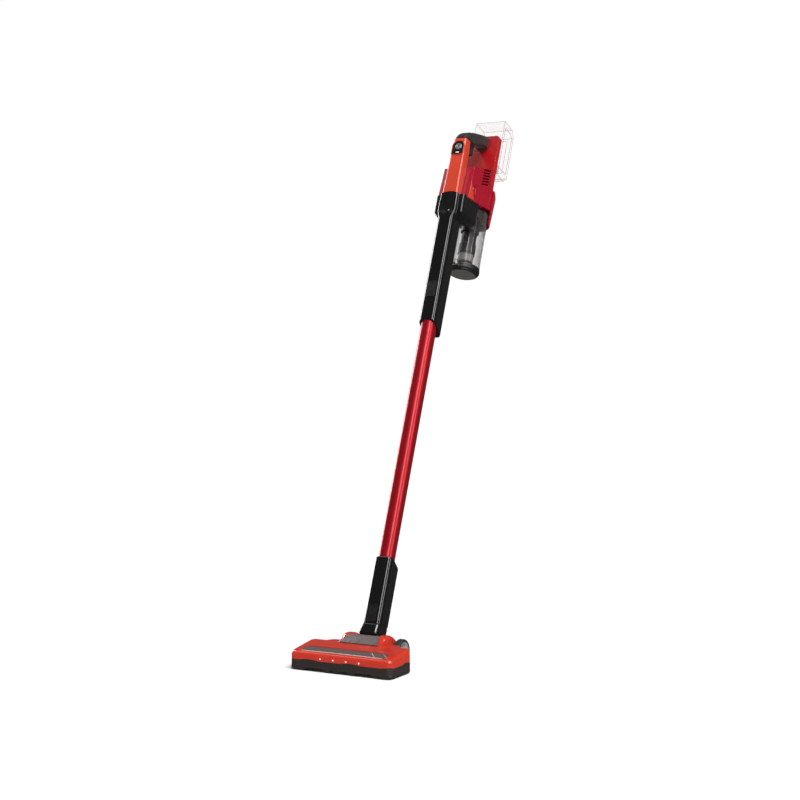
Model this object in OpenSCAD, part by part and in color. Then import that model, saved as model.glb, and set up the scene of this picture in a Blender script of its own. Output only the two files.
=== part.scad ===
// Cordless upright stick vacuum cleaner with a powered floor head.
// Frame: +Z up, +Y to the rear, origin under the middle of the lint strip, on the floor.
// The stick pieces are drawn upright in a frame of their own, X sideways, Y rearward and
// Z up along the stick from the pitch pivot, and are then leaned back.

/* [Stance] */
// Lean of the stick back from upright, degrees
lean = 21.15; // [15:0.05:24]
// Height of the pitch pivot above the floor
pivot_z = 45; // [44:0.5:50]
// Distance of the pitch pivot behind the lint strip
pivot_y = 83; // [82:0.5:95]

/* [Floor head] */
// Width of the floor head over its ends
head_w = 232; // [190:1:300]
// Front edge of the head ahead of the lint strip
head_front = 45; // [44:0.5:50]
// Rear edge of the nozzle behind the lint strip
head_back = 42; // [40:0.5:46]
// Radius of the nozzle corners seen from above
head_corner = 12; // [9:0.5:13]
// Gap between the sole and the floor
sole_gap = 3; // [2:0.5:4]
// Height of the dark base band above the floor
band_top = 21.5; // [20:0.5:24]
// Height of the cover above the floor at its rear
cover_top = 49.5; // [48:0.5:56]
// Wall thickness of the head covers
head_wall = 2.5; // [1.5:0.1:3]
// Radius over the bristles of the brush roll
brush_r = 15; // [13:0.25:15.2]
// Radius of the rear wheels
wheel_r = 26; // [21:0.5:31]
// Width of a rear wheel
wheel_w = 14; // [10:0.5:18]

/* [Stick] */
// Outer radius of the long tube
tube_r = 17.5; // [14.5:0.25:21]
// Wall thickness of the long tube
tube_wall = 1.2; // [0.8:0.1:2]
// Length of the long tube between the neck and the sleeve
tube_show = 528; // [400:1:700]
// Length of the neck above its swivel
neck_len = 141; // [115:1:170]
// Length of the sleeve below the collar
sleeve_len = 248; // [220:1:300]
// Depth that the tube reaches into the neck
neck_grip = 96; // [80:1:100]
// Depth that the tube reaches into the sleeve
sleeve_grip = 46; // [40:1:55]

/* [Hand unit] */
// Width of the motor housing
housing_w = 76; // [74:1:92]
// Wall thickness of the housing
housing_wall = 2.5; // [1.6:0.1:3]
// Outer radius of the dust bin
bin_r = 36; // [30:0.5:36.5]
// Length of the dust bin's clear shell
bin_len = 139; // [116:1:167]
// Wall thickness of the dust bin
bin_wall = 2; // [1.5:0.1:3]
// Width of the grip
grip_w = 30; // [25:1:36]
// Width of the battery pack
battery_w = 75; // [70:1:76]
// Depth of the battery pack
battery_d = 56; // [45:1:68]
// Length of the battery pack
battery_h = 136; // [114:1:163]

/* [Clearances] */
// Radial clearance of a shaft or tube that turns or slides in its bore
run_gap = 0.06; // [0.02:0.01:0.1]
// Gap between separate pieces that move past each other
part_gap = 0.3; // [0.2:0.05:0.5]

/* [Hidden] */
$fn = 64;
tiny = 0.01;
far = 400;

// Stick stations, measured up the stick from the pitch pivot.
swivel_u = 33;
neck_top = swivel_u + neck_len;
tube_low = neck_top - neck_grip;
sleeve_low = neck_top + tube_show;
tube_high = sleeve_low + sleeve_grip;
hand_u = sleeve_low + sleeve_len;

// Neck and sleeve sections: half width, front, back and corner radii.
shell_wall = 2.4;
tube_bore = tube_r + run_gap;
shell_hw = tube_bore + shell_wall;
shell_front = -tube_bore - 1.5;
shell_back = tube_bore + 8.9;
front_round = 12;
back_round = 8;
airway_r = tube_r - 4.5;
slant_drop = 20;

// Release buttons on the neck and the sleeve.
button_w = 21;
button_h = 36;
button_t = 3.4;
button_proud = 1;
button_floor = 5.2;
neck_button_u = 37;
sleeve_button_u = sleeve_low + 53;

// Elbow between the neck and the head.
barrel_r = 16;
barrel_hw = 26;
barrel_wall = 3;
spigot_r = airway_r + 2;
spigot_len = 19;
pivot_pin_r = 5;

// Head: chamber, belt side and rear space, as distances along X and Y.
head_hw = head_w / 2;
end_wall = 9;
belt_room = 9;
inner_wall = 3;
bearing_t = 4.5;
bearing_hd = 8;
chamber_left = -head_hw + end_wall + belt_room + inner_wall;
chamber_right = head_hw - end_wall - bearing_t + 0.5;
brush_y = -23.5;
brush_z = 16.5;
mouth_front = -39.5;
mouth_back = -8;
sole_t = 3;
floor_top = sole_gap + sole_t;
strip_w = 12;
strip_hw = head_hw - 18;
core_r = 10.5;
axle_r = 3;
brush_pulley_r = 7;
motor_pulley_r = 4.5;
belt_t = 1.2;
belt_w = 5.5;
belt_reach = brush_pulley_r + 2 * part_gap + belt_t + 1;
motor_y = 22;
motor_z = 24;
motor_can_r = 13;
motor_len = 50;
motor_left = chamber_left + 10;
motor_shaft_r = 1.5;
pulley_left = chamber_left - inner_wall - 8;
pulley_w = 7;
window_hw = head_hw - 20;
window_front = -head_front + 9;
window_back = -9;
window_t = head_wall * 1.02;
window_lip = 3;
window_lip_t = 1.5;
cover_front_z = 40;
roller_r = 4.5;
roller_w = 4.5;
roller_y = -28;
roller_x = head_hw - 4.5;
roller_pin_r = 1.5;
duct_hw = 20;
duct_low = 24;
duct_high = 40;
duct_wall = 1.5;
light_x = 14.75;
light_z = 26.5;
light_r = 2;

// Rear carrier between the wheels.
cheek_in = barrel_hw + 2;
cheek_out = 46;
cheek_r = 11;
wheel_y = 100;
wheel_in = 52.5;
axle_pin_r = 4;
tyre_t = 5;
hump_out = 50;
hump_top = 63;
carrier_low = 9;
carrier_t = 5;
panel_t = 2.5;

// Hand unit stations, measured up from the top of the sleeve.
collar_hw = 36;
collar_back = 70;
under_front = [2, 51];
under_slope = 0.2041;
top_front = [9, 131];
top_slope = 0.4132;
rear_slope = 0.73;
mount_front = 100;
mount_t = 15;
mount_back = mount_front + mount_t;
mount_low = 125;
mount_high = 260;
column_back = 8;
column_low = 55;
column_top = 195;
column_wall = 2.5;
panel_hw = 13.5;
panel_low = 153;
panel_high = 185;
panel_inset = 1.6;
power_u = 173;
power_r = 7.5;
power_t = 2.4;
power_travel = 0.8;

// Dust bin: axis behind the stick's axis, stations along the stick.
bin_v = 109;
bin_top = 64;
bin_low = bin_top - bin_len;
lid_t = 13;
lid_pin_v = bin_v - bin_r - 4;
lid_pin_u = bin_low - 5;
lid_pin_r = 1.5;
lug_r = 2.9;
lug_hw = 5;
filter_head_h = 26;
cap_t = 1.2;
seal_t = 1.2;
cone_r = 17;
cone_low = bin_top - 77;
skirt_low = cone_low - 26;
inlet_u = 30;
inlet_r = 11;

// Suction motor and fan above the bin.
fan_u = 83;
fan_r = 27;
fan_h = 7;
intake_r = fan_r - 8;
motor_mount_t = 3;
can_u = fan_u + fan_h + 1 + motor_mount_t;
can_r = 25;
can_h = 15;
rotor_shaft_r = 2;

// Battery slide and terminals.
battery_low = 170;
rail_x = 26;
rail_w = 4;
rail_t = 4;
blade_t = 0.8;

// Skirt behind the bin, with the bin's release button in it.
skirt_t = 4;
skirt_bulge = 3;
skirt_bottom = 39;
skirt_crest = 108;
skirt_in = max(bin_r + part_gap, housing_w / 2) + run_gap;
skirt_out = skirt_in + skirt_t;
bin_button_u = [50, 68];
bin_button_hw = 9;
bin_button_travel = 1.6;

function under(v) = under_front[1] + (v - under_front[0]) * under_slope;
function rear_top(v) = mount_low + 3 - (v - mount_back) * rear_slope;
function over(v) = top_front[1] + (v - top_front[0]) * top_slope;
function inward(a, b) = let (t = (b - a) / norm(b - a)) [-t[1], t[0]];
function inset(p, d) = [
    for (i = [0 : len(p) - 1])
        let (n = len(p), before = inward(p[(i + n - 1) % n], p[i]), after = inward(p[i], p[(i + 1) % n]))
        p[i] + d * (before + after) / (1 + before * after)
];

// Frames and prisms.
module on_stick() translate([0, pivot_y, pivot_z]) rotate([-lean, 0, 0]) children();
module on_hand() on_stick() translate([0, 0, hand_u]) children();
module side_prism(hw, x = 0) translate([x, 0, 0]) rotate([90, 0, 90])
    linear_extrude(2 * hw, center = true) children();
module front_prism(v0, v1) translate([0, v1, 0]) rotate([90, 0, 0]) linear_extrude(v1 - v0) children();
module along_x(r, x0, x1, y = 0, z = 0) translate([x0, y, z]) rotate([0, 90, 0])
    cylinder(r = r, h = x1 - x0);
module along_v(r, v0, v1, x = 0, u = 0) translate([x, v1, u]) rotate([90, 0, 0])
    cylinder(r = r, h = v1 - v0);
module along_u(r, u0, u1, x = 0, v = 0) translate([x, v, u0]) cylinder(r = r, h = u1 - u0);
module span(low, high) translate(low) cube(high - low);
module both_sides() { children(); mirror([1, 0, 0]) children(); }

module rounded(hw, back, front, rb, rf) {
    translate([-hw, front + rf]) square([2 * hw, back - front - rf - rb]);
    translate([-(hw - rf), front]) square([2 * (hw - rf), back - front - rb]);
    translate([-(hw - rb), front + rf]) square([2 * (hw - rb), back - front - rf]);
    for (s = [-1, 1]) {
        translate([s * (hw - rf), front + rf]) circle(rf);
        translate([s * (hw - rb), back - rb]) circle(rb);
    }
}

// Floor head: lower half.

module head_plan(d = 0)
    rounded(head_hw - d, head_back - d, -head_front + d, head_corner - d, head_corner - d);

module base_plate() color([0.16, 0.16, 0.17]) {
    base_shell();
    motor_saddles();
}

module base_shell() difference() {
    translate([0, 0, sole_gap]) linear_extrude(band_top - sole_gap) head_plan();
    span([chamber_left, mouth_front, 0], [chamber_right, mouth_back, band_top + 1]);
    span([chamber_left, mouth_back + inner_wall, floor_top],
        [chamber_right, head_back - head_wall, band_top + 1]);
    span([-head_hw + end_wall, brush_y - belt_reach, floor_top],
         [-head_hw + end_wall + belt_room, head_back - head_wall, band_top + 1]);
    for (s = [-1, 1])
        span([s * roller_x - roller_w / 2 - part_gap, roller_y - roller_r - part_gap, 0],
             [s * roller_x + roller_w / 2 + part_gap, roller_y + roller_r + part_gap, 2 * roller_r + 1]);
    for (s = [-1, 1])
        along_x(roller_pin_r, s * roller_x - roller_w / 2 - 1.5, s * roller_x + roller_w / 2 + 1.5,
                roller_y, roller_r);
    bearing_boxes(band_top + 1);
    for (s = [-1, 0, 1])
        span([s * head_hw * 0.48 - head_hw * 0.19, -head_front - 1, 0],
             [s * head_hw * 0.48 + head_hw * 0.19, mouth_front + 1, sole_gap + 3]);
    screw_holes(sole_gap, floor_top);
}

// Bearing blocks: one in the wall beside the belt, one let into the right end wall.
module bearing_boxes(top) {
    span([chamber_right, brush_y - bearing_hd, floor_top],
        [chamber_right + bearing_t, brush_y + bearing_hd, top]);
    span([chamber_left - inner_wall, brush_y - bearing_hd, floor_top],
        [chamber_left, brush_y + bearing_hd, top]);
}

module bearing_blocks() color([0.35, 0.35, 0.37]) difference() {
    bearing_boxes(brush_z + bearing_hd);
    along_x(axle_r + run_gap, -head_hw, head_hw, brush_y, brush_z);
}

module motor_saddles() difference() {
    for (x = [motor_left + 8, motor_left + motor_len - 16])
        span([x, motor_y - 10, floor_top], [x + 8, motor_y + 10, band_top]);
    along_x(motor_can_r + run_gap, motor_left - 1, motor_left + motor_len + 1, motor_y, motor_z);
}

module screw_spots() for (x = [-1, 1]) translate([x * (head_hw - 27), head_back - 9, 0]) children();
module screw_holes(z0, z1) screw_spots() translate([0, 0, z0 - 1]) cylinder(r = 1.6, h = z1 - z0 + 2);

module head_screws() color([0.55, 0.55, 0.57]) screw_spots() {
    translate([0, 0, floor_top]) cylinder(r = 3, h = 2);
    translate([0, 0, sole_gap + 0.5]) cylinder(r = 1.6, h = floor_top - sole_gap);
}

module lint_strip() color([0.5, 0.06, 0.05])
    span([-strip_hw, -strip_w / 2, 0], [strip_hw, strip_w / 2, sole_gap]);

module roller(side) color([0.1, 0.1, 0.1]) {
    along_x(roller_r, side * roller_x - roller_w / 2, side * roller_x + roller_w / 2, roller_y, roller_r);
    along_x(roller_pin_r - run_gap, side * roller_x - roller_w / 2 - 1.2,
        side * roller_x + roller_w / 2 + 1.2,
            roller_y, roller_r);
}
module roller_left() roller(-1);
module roller_right() roller(1);

// Floor head: brush roll and its drive.

module brush_core() color([0.12, 0.12, 0.13]) {
    along_x(core_r, chamber_left + 1, chamber_right - 1, brush_y, brush_z);
    along_x(axle_r, pulley_left, chamber_left + 2, brush_y, brush_z);
    along_x(axle_r, chamber_right - 2, chamber_right + bearing_t - 0.5, brush_y, brush_z);
}

module brush_bristles() color([0.75, 0.1, 0.08]) difference() {
    translate([chamber_left + 3, brush_y, brush_z]) rotate([0, 90, 0])
        linear_extrude(chamber_right - chamber_left - 6)
            for (a = [0 : 60 : 300]) rotate(a) translate([core_r - 1, -1.2])
                square([brush_r - core_r + 1, 2.4]);
    along_x(core_r, chamber_left, chamber_right, brush_y, brush_z);
}

module brush_pulley() color([0.7, 0.7, 0.68]) difference() {
    union() {
        along_x(brush_pulley_r, pulley_left, pulley_left + pulley_w, brush_y, brush_z);
        along_x(brush_pulley_r + 1, pulley_left - 0.7, pulley_left, brush_y, brush_z);
    }
    along_x(axle_r, pulley_left - 1, pulley_left + pulley_w + 1, brush_y, brush_z);
}

module motor_pulley() color([0.7, 0.7, 0.68]) difference() {
    along_x(motor_pulley_r, pulley_left, pulley_left + pulley_w, motor_y, motor_z);
    along_x(motor_shaft_r, pulley_left - 1, pulley_left + pulley_w + 1, motor_y, motor_z);
}

module motor_shaft() color("silver") along_x(motor_shaft_r, pulley_left, motor_left + 8, motor_y, motor_z);

module belt_loop(grow) hull() {
    translate([brush_y, brush_z]) circle(brush_pulley_r + part_gap + grow, $fn = 40);
    translate([motor_y, motor_z]) circle(motor_pulley_r + part_gap + grow, $fn = 40);
}

module drive_belt() color([0.08, 0.08, 0.08])
    side_prism(belt_w / 2, pulley_left + pulley_w / 2) difference() {
        belt_loop(belt_t);
        belt_loop(0);
    }

module brush_motor() color([0.6, 0.6, 0.62]) difference() {
    union() {
        along_x(motor_can_r, motor_left, motor_left + motor_len, motor_y, motor_z);
        along_x(6, motor_left - 3, motor_left, motor_y, motor_z);
    }
    along_x(motor_shaft_r + run_gap, motor_left - 4, motor_left + 9, motor_y, motor_z);
}

// Rear wall of the brush chamber, moulded in one with the duct behind it.
module suction_duct() color([0.22, 0.22, 0.23]) difference() {
    union() {
        span([chamber_left, mouth_back, band_top], [chamber_right, mouth_back + inner_wall, duct_high]);
        span([-duct_hw, mouth_back, duct_low], [duct_hw, pivot_y - barrel_r - 1, duct_high]);
    }
    span([-duct_hw + duct_wall, mouth_back - 1, duct_low + duct_wall],
         [duct_hw - duct_wall, pivot_y - barrel_r, duct_high - duct_wall]);
}

// Floor head: upper half.

function cover_side(drop) = [
    [-head_front, band_top - drop],
    [head_back, band_top - drop],
    [head_back, cover_top - 15],
    [head_back - 3, cover_top - 4],
    [head_back - 8, cover_top],
    [0, cover_top - 3.5],
    [-head_front + 9, cover_front_z],
    [-head_front + 3, cover_front_z - 5],
    [-head_front, cover_front_z - 12]
];
function cover_front(drop) = [
    [-head_hw, band_top - drop],
    [head_hw, band_top - drop],
    [head_hw, cover_front_z - 4],
    [head_hw - 5, cover_top - 3],
    [head_hw - 14, cover_top + 5],
    [-head_hw + 14, cover_top + 5],
    [-head_hw + 5, cover_top - 3],
    [-head_hw, cover_front_z - 4]
];
module cover_form(d = 0) intersection() {
    side_prism(head_hw) polygon(inset(cover_side(2 * d), d));
    front_prism(-far, far) polygon(inset(cover_front(2 * d), d));
    translate([0, 0, sole_gap]) linear_extrude(far) head_plan(d);
}
function cover_slope(y) = cover_front_z + (y + head_front - 9) * (cover_top - 3.5 - cover_front_z) /
    (head_front - 9);
module window_slab(y0, y1, down, t, hw) side_prism(hw) polygon([
    [y0, cover_slope(y0) - down - t],
    [y1, cover_slope(y1) - down - t],
    [y1, cover_slope(y1) - down],
    [y0, cover_slope(y0) - down]
]);

module head_cover() color([0.72, 0.09, 0.04]) difference() {
    cover_form();
    cover_form(head_wall);
    window_slab(window_front, window_back, -5, 5 + 2 * head_wall, window_hw);
    front_prism(head_back - head_wall - 6, head_back + 1)
        translate([-duct_hw, band_top - 1]) square([2 * duct_hw, duct_high - band_top + 1]);
    lights(0, -head_front - 1, -head_front + head_wall + 1);
}

module brush_window() color([0.35, 0.3, 0.27, 0.45]) {
    window_slab(window_front + 0.1, window_back - 0.1, 0, window_t, window_hw - 0.1);
    window_slab(window_front + 0.5, window_back + window_lip, window_t, window_lip_t,
        window_hw + window_lip);
}

module lights(grow, y0, y1) for (i = [-1.5 : 1 : 1.5])
    along_v(light_r + grow, y0, y1, i * 2 * light_x, light_z);
module head_lights() color("white") lights(0, -head_front, -head_front + head_wall);

// Rear cover with a shoulder on each side of the elbow, and its fenders ahead of the wheels.
hump_side = [
    [head_back, duct_low - 1],
    [wheel_y + 8, duct_low - 1],
    [wheel_y + 8, 38],
    [wheel_y - 1, 54],
    [pivot_y - 3, hump_top - 2],
    [pivot_y - 23, hump_top],
    [head_back + 4, hump_top - 2],
    [head_back - 10, cover_top + 6],
    [head_back - 16, cover_top],
    [head_back, cover_top]
];
hump_hollow = [
    [head_back + head_wall, duct_low - 2],
    [wheel_y + 8 - head_wall, duct_low - 2],
    [wheel_y + 8 - head_wall, 37],
    [wheel_y - 2, 52],
    [pivot_y - 4, hump_top - 4],
    [head_back + 5, hump_top - 4],
    [head_back + head_wall, cover_top]
];
module fender() translate([0, 0, duct_low - 1]) linear_extrude(18) polygon([
    [hump_out - 1, head_back],
    [hump_out + 32, head_back],
    [hump_out + 24, wheel_y - wheel_r - 14],
    [hump_out - 1, wheel_y - wheel_r - 4]
]);
module rear_cover() color([0.68, 0.07, 0.05]) {
    both_sides() difference() {
        union() {
            side_prism((hump_out - cheek_in) / 2, (hump_out + cheek_in) / 2) polygon(hump_side);
            fender();
        }
        side_prism((hump_out - cheek_in) / 2, (hump_out + cheek_in) / 2 - head_wall) polygon(hump_hollow);
        along_x(axle_pin_r + 3 + part_gap, cheek_out, hump_out + 1, wheel_y, wheel_r);
    }
    span([-cheek_in, head_back, duct_high], [cheek_in, head_back + head_wall, cover_top - 1]);
}

function panel_low_edge(y) = cover_top + (y - head_back + 12) * 0.42;
module hinge_panel() color([0.33, 0.32, 0.31]) intersection() {
    side_prism(cheek_in) polygon([
        [head_back - 11, cover_top],
        [head_back, cover_top],
        [pivot_y - 27, panel_low_edge(pivot_y - 27) - panel_t],
        [pivot_y - 27, panel_low_edge(pivot_y - 27)],
        [head_back - 9, cover_top + 2]
    ]);
    translate([0, 0, cover_top - 1]) linear_extrude(30) polygon([
        [-cheek_in, head_back - 12],
        [cheek_in, head_back - 12],
        [cheek_in, pivot_y],
        [-cheek_in, pivot_y]
    ]);
}

module carrier() color([0.13, 0.13, 0.14]) difference() {
    union() {
        span([-cheek_out, head_back, carrier_low], [cheek_out, wheel_y + 6, carrier_low + carrier_t]);
        both_sides() {
            span([cheek_in, head_back + head_wall, carrier_low + carrier_t],
                [cheek_out, wheel_y + 5, pivot_z - 10]);
            span([cheek_in, pivot_y - cheek_r, pivot_z - 12], [cheek_out, pivot_y + cheek_r, pivot_z]);
            along_x(cheek_r, cheek_in, cheek_out, pivot_y, pivot_z);
        }
    }
    both_sides() along_x(pivot_pin_r, cheek_in - 1, cheek_out - 4, pivot_y, pivot_z);
    both_sides() along_x(axle_pin_r, cheek_out - 14, cheek_out + 1, wheel_y, wheel_r);
}

// Steel pins that the elbow pitches on, and the wheels' axles with their flanges.
module axle_pins() color("silver") both_sides() {
    along_x(pivot_pin_r, barrel_hw - 6, cheek_out - 4, pivot_y, pivot_z);
    along_x(axle_pin_r, cheek_out - 14, wheel_in + wheel_w + 2, wheel_y, wheel_r);
    along_x(axle_pin_r + 2, wheel_in + wheel_w + part_gap, wheel_in + wheel_w + 2, wheel_y, wheel_r);
    along_x(axle_pin_r + 3, cheek_out, wheel_in - part_gap, wheel_y, wheel_r);
}

module wheel_hub(side) color([0.6, 0.6, 0.58]) mirror([side < 0 ? 1 : 0, 0, 0])
    translate([0, wheel_y, wheel_r]) difference() {
        union() {
            along_x(wheel_r - tyre_t, wheel_in, wheel_in + wheel_w - 3);
            along_x(axle_pin_r + 4, wheel_in, wheel_in + wheel_w);
        }
        along_x(axle_pin_r + run_gap, wheel_in - 1, wheel_in + wheel_w + 1);
        for (a = [0 : 60 : 300])
            rotate([a, 0, 0]) along_x(3.4, wheel_in - 1, wheel_in + wheel_w, 0,
                (wheel_r - tyre_t + axle_pin_r + 4) / 2);
    }
module wheel_hub_left() wheel_hub(-1);
module wheel_hub_right() wheel_hub(1);

module wheel_tyre(side) color([0.07, 0.07, 0.07]) mirror([side < 0 ? 1 : 0, 0, 0])
    translate([wheel_in, wheel_y, wheel_r]) rotate([0, 90, 0]) rotate_extrude() polygon([
        [wheel_r - tyre_t, 0],
        [wheel_r - 2, 0],
        [wheel_r, 2],
        [wheel_r, wheel_w - 2],
        [wheel_r - 2, wheel_w],
        [wheel_r - tyre_t, wheel_w]
    ]);
module wheel_tyre_left() wheel_tyre(-1);
module wheel_tyre_right() wheel_tyre(1);

// Elbow: a barrel on the pitch pins and a foot that holds the neck's swivel spigot.
module elbow() color([0.07, 0.07, 0.08]) on_stick() difference() {
    union() {
        along_x(barrel_r, -barrel_hw, barrel_hw);
        intersection() {
            side_prism(shell_hw) polygon([
                [-24, 12],
                [-10, 2],
                [16, 2],
                [shell_back - 2, swivel_u - 8],
                [shell_back - 2, swivel_u],
                [shell_front, swivel_u]
            ]);
            linear_extrude(far) rounded(shell_hw, shell_back, -25, back_round, back_round);
        }
    }
    along_u(spigot_r + run_gap, swivel_u - spigot_len - part_gap, swivel_u + 1);
    along_u(airway_r - 1, 0, swivel_u);
    along_x(barrel_r - barrel_wall, -barrel_hw + 4, barrel_hw - 4);
    along_x(pivot_pin_r + run_gap, -barrel_hw - 1, barrel_hw + 1);
    side_prism(barrel_hw - 6) polygon([[0, 0], [-30, 5], [-30, -30], [14, -30]]);
}

module neck_shell() color([0.07, 0.07, 0.08]) on_stick() difference() {
    union() {
        translate([0, 0, swivel_u]) linear_extrude(neck_len)
            rounded(shell_hw, shell_back, shell_front, back_round, front_round);
        along_u(spigot_r, swivel_u - spigot_len, swivel_u + 1);
    }
    along_u(airway_r, swivel_u - spigot_len - 1, neck_top + 1);
    along_u(tube_bore, tube_low, neck_top + 1);
    side_prism(far) polygon([
        [shell_front + 8, neck_top + tiny],
        [shell_back + 1, neck_top - slant_drop],
        [shell_back + 1, neck_top + 1],
        [shell_front + 8, neck_top + 1]
    ]);
    button_pocket(neck_button_u);
}

// Release buttons: a pad that is pressed rearwards into a pocket in the shell.
module button_pocket(u0) span([-button_w / 2 - part_gap, shell_front - 1, u0 - part_gap],
    [button_w / 2 + part_gap, shell_front + button_floor, u0 + button_h + part_gap]);
module release_button(u0) color([0.05, 0.05, 0.055]) on_stick() difference() {
    span([-button_w / 2, shell_front - button_proud + 2, u0],
        [button_w / 2, shell_front + button_t - 0.6, u0 + button_h]);
    along_v(2.6, shell_front + 1, shell_front + 5, 0, u0 + button_h / 2);
}
module button_spring(u0) color("silver") on_stick() difference() {
    along_v(2.3, shell_front + 1 + part_gap, shell_front + button_floor, 0, u0 + button_h / 2);
    along_v(1.5, shell_front, shell_front + button_floor + 1, 0, u0 + button_h / 2);
}
module neck_button() release_button(neck_button_u);
module neck_button_spring() button_spring(neck_button_u);
module sleeve_button() release_button(sleeve_button_u);
module sleeve_button_spring() button_spring(sleeve_button_u);

// Long tube with the wire conduit that feeds the brush motor.
module main_tube() color([0.6, 0.05, 0.08]) on_stick() difference() {
    along_u(tube_r, tube_low, tube_high);
    along_u(tube_r - tube_wall, tube_low - 1, tube_high + 1);
}
module wire_conduit() color([0.15, 0.15, 0.15]) on_stick()
    along_u(2, tube_low + 1, tube_high - 1, 0, tube_r - tube_wall - 2.1);

// Hand unit: sleeve and collar.
module sleeve() color([0.07, 0.07, 0.08]) on_stick() difference() {
    union() {
        translate([0, 0, sleeve_low - 27]) linear_extrude(sleeve_len + 27)
            rounded(shell_hw, shell_back, shell_front, back_round, front_round);
        translate([0, 0, hand_u]) intersection() {
            side_prism(far) polygon([
                [shell_front, -tiny],
                [shell_back, -tiny],
                [collar_back, 12],
                [collar_back, under(collar_back)],
                [under_front[0], under_front[1]],
                [under_front[0], column_low],
                [shell_front + 2, column_low]
            ]);
            front_prism(-far, far) polygon([
                [-shell_hw, -tiny],
                [shell_hw, -tiny],
                [collar_hw, 16],
                [collar_hw, far],
                [-collar_hw, far],
                [-collar_hw, 16]
            ]);
        }
    }
    along_u(airway_r, sleeve_low, hand_u + inlet_u + inlet_r);
    along_u(tube_bore, sleeve_low - 30, tube_high);
    translate([0, 0, hand_u]) along_v(inlet_r, 0, collar_back + 1, 0, inlet_u);
    side_prism(far) polygon([
        [shell_front - 1, sleeve_low - 28],
        [shell_back + 1, sleeve_low - 28],
        [shell_back + 1, sleeve_low - 27],
        [shell_front - 1, sleeve_low]
    ]);
    button_pocket(sleeve_button_u);
}

module inlet_seal() color([0.2, 0.2, 0.2]) on_hand() difference() {
    along_v(inlet_r + 3, collar_back, bin_v - bin_r - part_gap, 0, inlet_u);
    along_v(inlet_r, collar_back - 1, bin_v, 0, inlet_u);
}

// Hand unit: motor housing in two halves.
module housing_form(d) intersection() {
    side_prism(housing_w / 2 - d) polygon(inset([
        [under_front[0], under(under_front[0])],
        [bin_v + 60, under(bin_v + 60)],
        [bin_v + 60, rear_top(bin_v + 60)],
        [mount_back, rear_top(mount_back)],
        [mount_back - 1, mount_low + 4],
        [mount_front, mount_low + 4],
        [mount_front, over(mount_front)],
        [top_front[0], top_front[1]]
    ], d));
    linear_extrude(far) union() {
        translate([-housing_w / 2 + d, d]) square([housing_w - 2 * d, bin_v - d]);
        translate([0, bin_v]) circle(housing_w / 2 - d);
    }
}
module housing_vents() for (i = [0 : 5]) front_vent(i);
module front_vent(i) translate([0, 0, 116 + i * 7]) rotate([22, 0, 0])
    span([-far, 62 - i * 0.4, -26], [far, 92, -22.6]);
module housing_shell() {
    difference() {
        housing_form(0);
        housing_form(housing_wall);
    }
    along_u(fan_r, bin_top + cap_t + seal_t + part_gap, fan_u - 3, 0, bin_v);
}
module housing_half(side) difference() {
    housing_shell();
    span([-shell_hw - part_gap, -far, 0], [shell_hw + part_gap, column_back, far]);
    translate([side < 0 ? 0 : -far, -far, -far]) cube([far, 2 * far, 2 * far]);
    along_u(intake_r, under_front[1] - 10, fan_u - 2, 0, bin_v);
    intersection() {
        housing_vents();
        span([side < 0 ? -far : 10, 0, 0], [side < 0 ? -10 : far, far, far]);
    }
}
module housing_left() color([0.6, 0.02, 0.09]) on_hand() housing_half(-1);
module housing_right() color([0.6, 0.02, 0.09]) on_hand() housing_half(1);

// Suction motor and fan, on an axis in line with the bin.
module motor_mount() color([0.2, 0.2, 0.2]) on_hand() difference() {
    along_u(housing_w / 2 - housing_wall - run_gap, can_u - motor_mount_t, can_u, 0, bin_v);
    along_u(can_r - 5, can_u - 5, can_u + 1, 0, bin_v);
}
module suction_motor() color([0.65, 0.65, 0.67]) on_hand() difference() {
    along_u(can_r, can_u, can_u + can_h, 0, bin_v);
    along_u(rotor_shaft_r + run_gap, can_u - 1, can_u + can_h - 4, 0, bin_v);
}
module fan() color([0.8, 0.8, 0.78]) on_hand() translate([0, bin_v, fan_u]) {
    cylinder(r = fan_r, h = 1.5);
    cylinder(r = 6, h = fan_h);
    cylinder(r = rotor_shaft_r, h = can_u + can_h - 5 - fan_u);
    for (a = [0 : 30 : 330]) rotate(a) translate([5, -0.6, 0]) cube([fan_r - 6, 1.2, fan_h]);
}

// Hand unit: column, panel and grip.
column_side = [
    [shell_front + 2, column_low],
    [column_back, column_low],
    [column_back, column_top],
    [-14, column_top]
];
module panel_form(d, v0, v1) front_prism(v0, v1) {
    translate([-panel_hw - d, panel_low - d])
        square([2 * (panel_hw + d), panel_high - panel_low - panel_hw + d]);
    translate([0, panel_high - panel_hw]) circle(panel_hw + d);
}
module handle_column() color([0.82, 0.16, 0.09]) on_hand() difference() {
    side_prism(far) polygon(column_side);
    difference() {
        translate([-far, -far, -far]) cube(2 * far);
        front_prism(-far, far) polygon([
            [-shell_hw, column_low - 1],
            [shell_hw, column_low - 1],
            [17, column_top + 1],
            [-17, column_top + 1]
        ]);
    }
    intersection() {
        side_prism(17 - column_wall) polygon(inset(column_side, column_wall));
        translate([-far, -far, 0]) cube(2 * far);
    }
    panel_form(part_gap, -far, 0);
}

module display_panel() color([0.06, 0.06, 0.07]) on_hand() difference() {
    panel_form(0, -16 + panel_inset, -8);
    along_v(power_r + part_gap, -far, -16 + panel_inset + power_t + power_travel + part_gap, 0, power_u);
}
module power_button() color([0.7, 0.7, 0.7]) on_hand()
    along_v(power_r, -16 + panel_inset - 0.4, -16 + panel_inset + power_t, 0, power_u);

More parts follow.
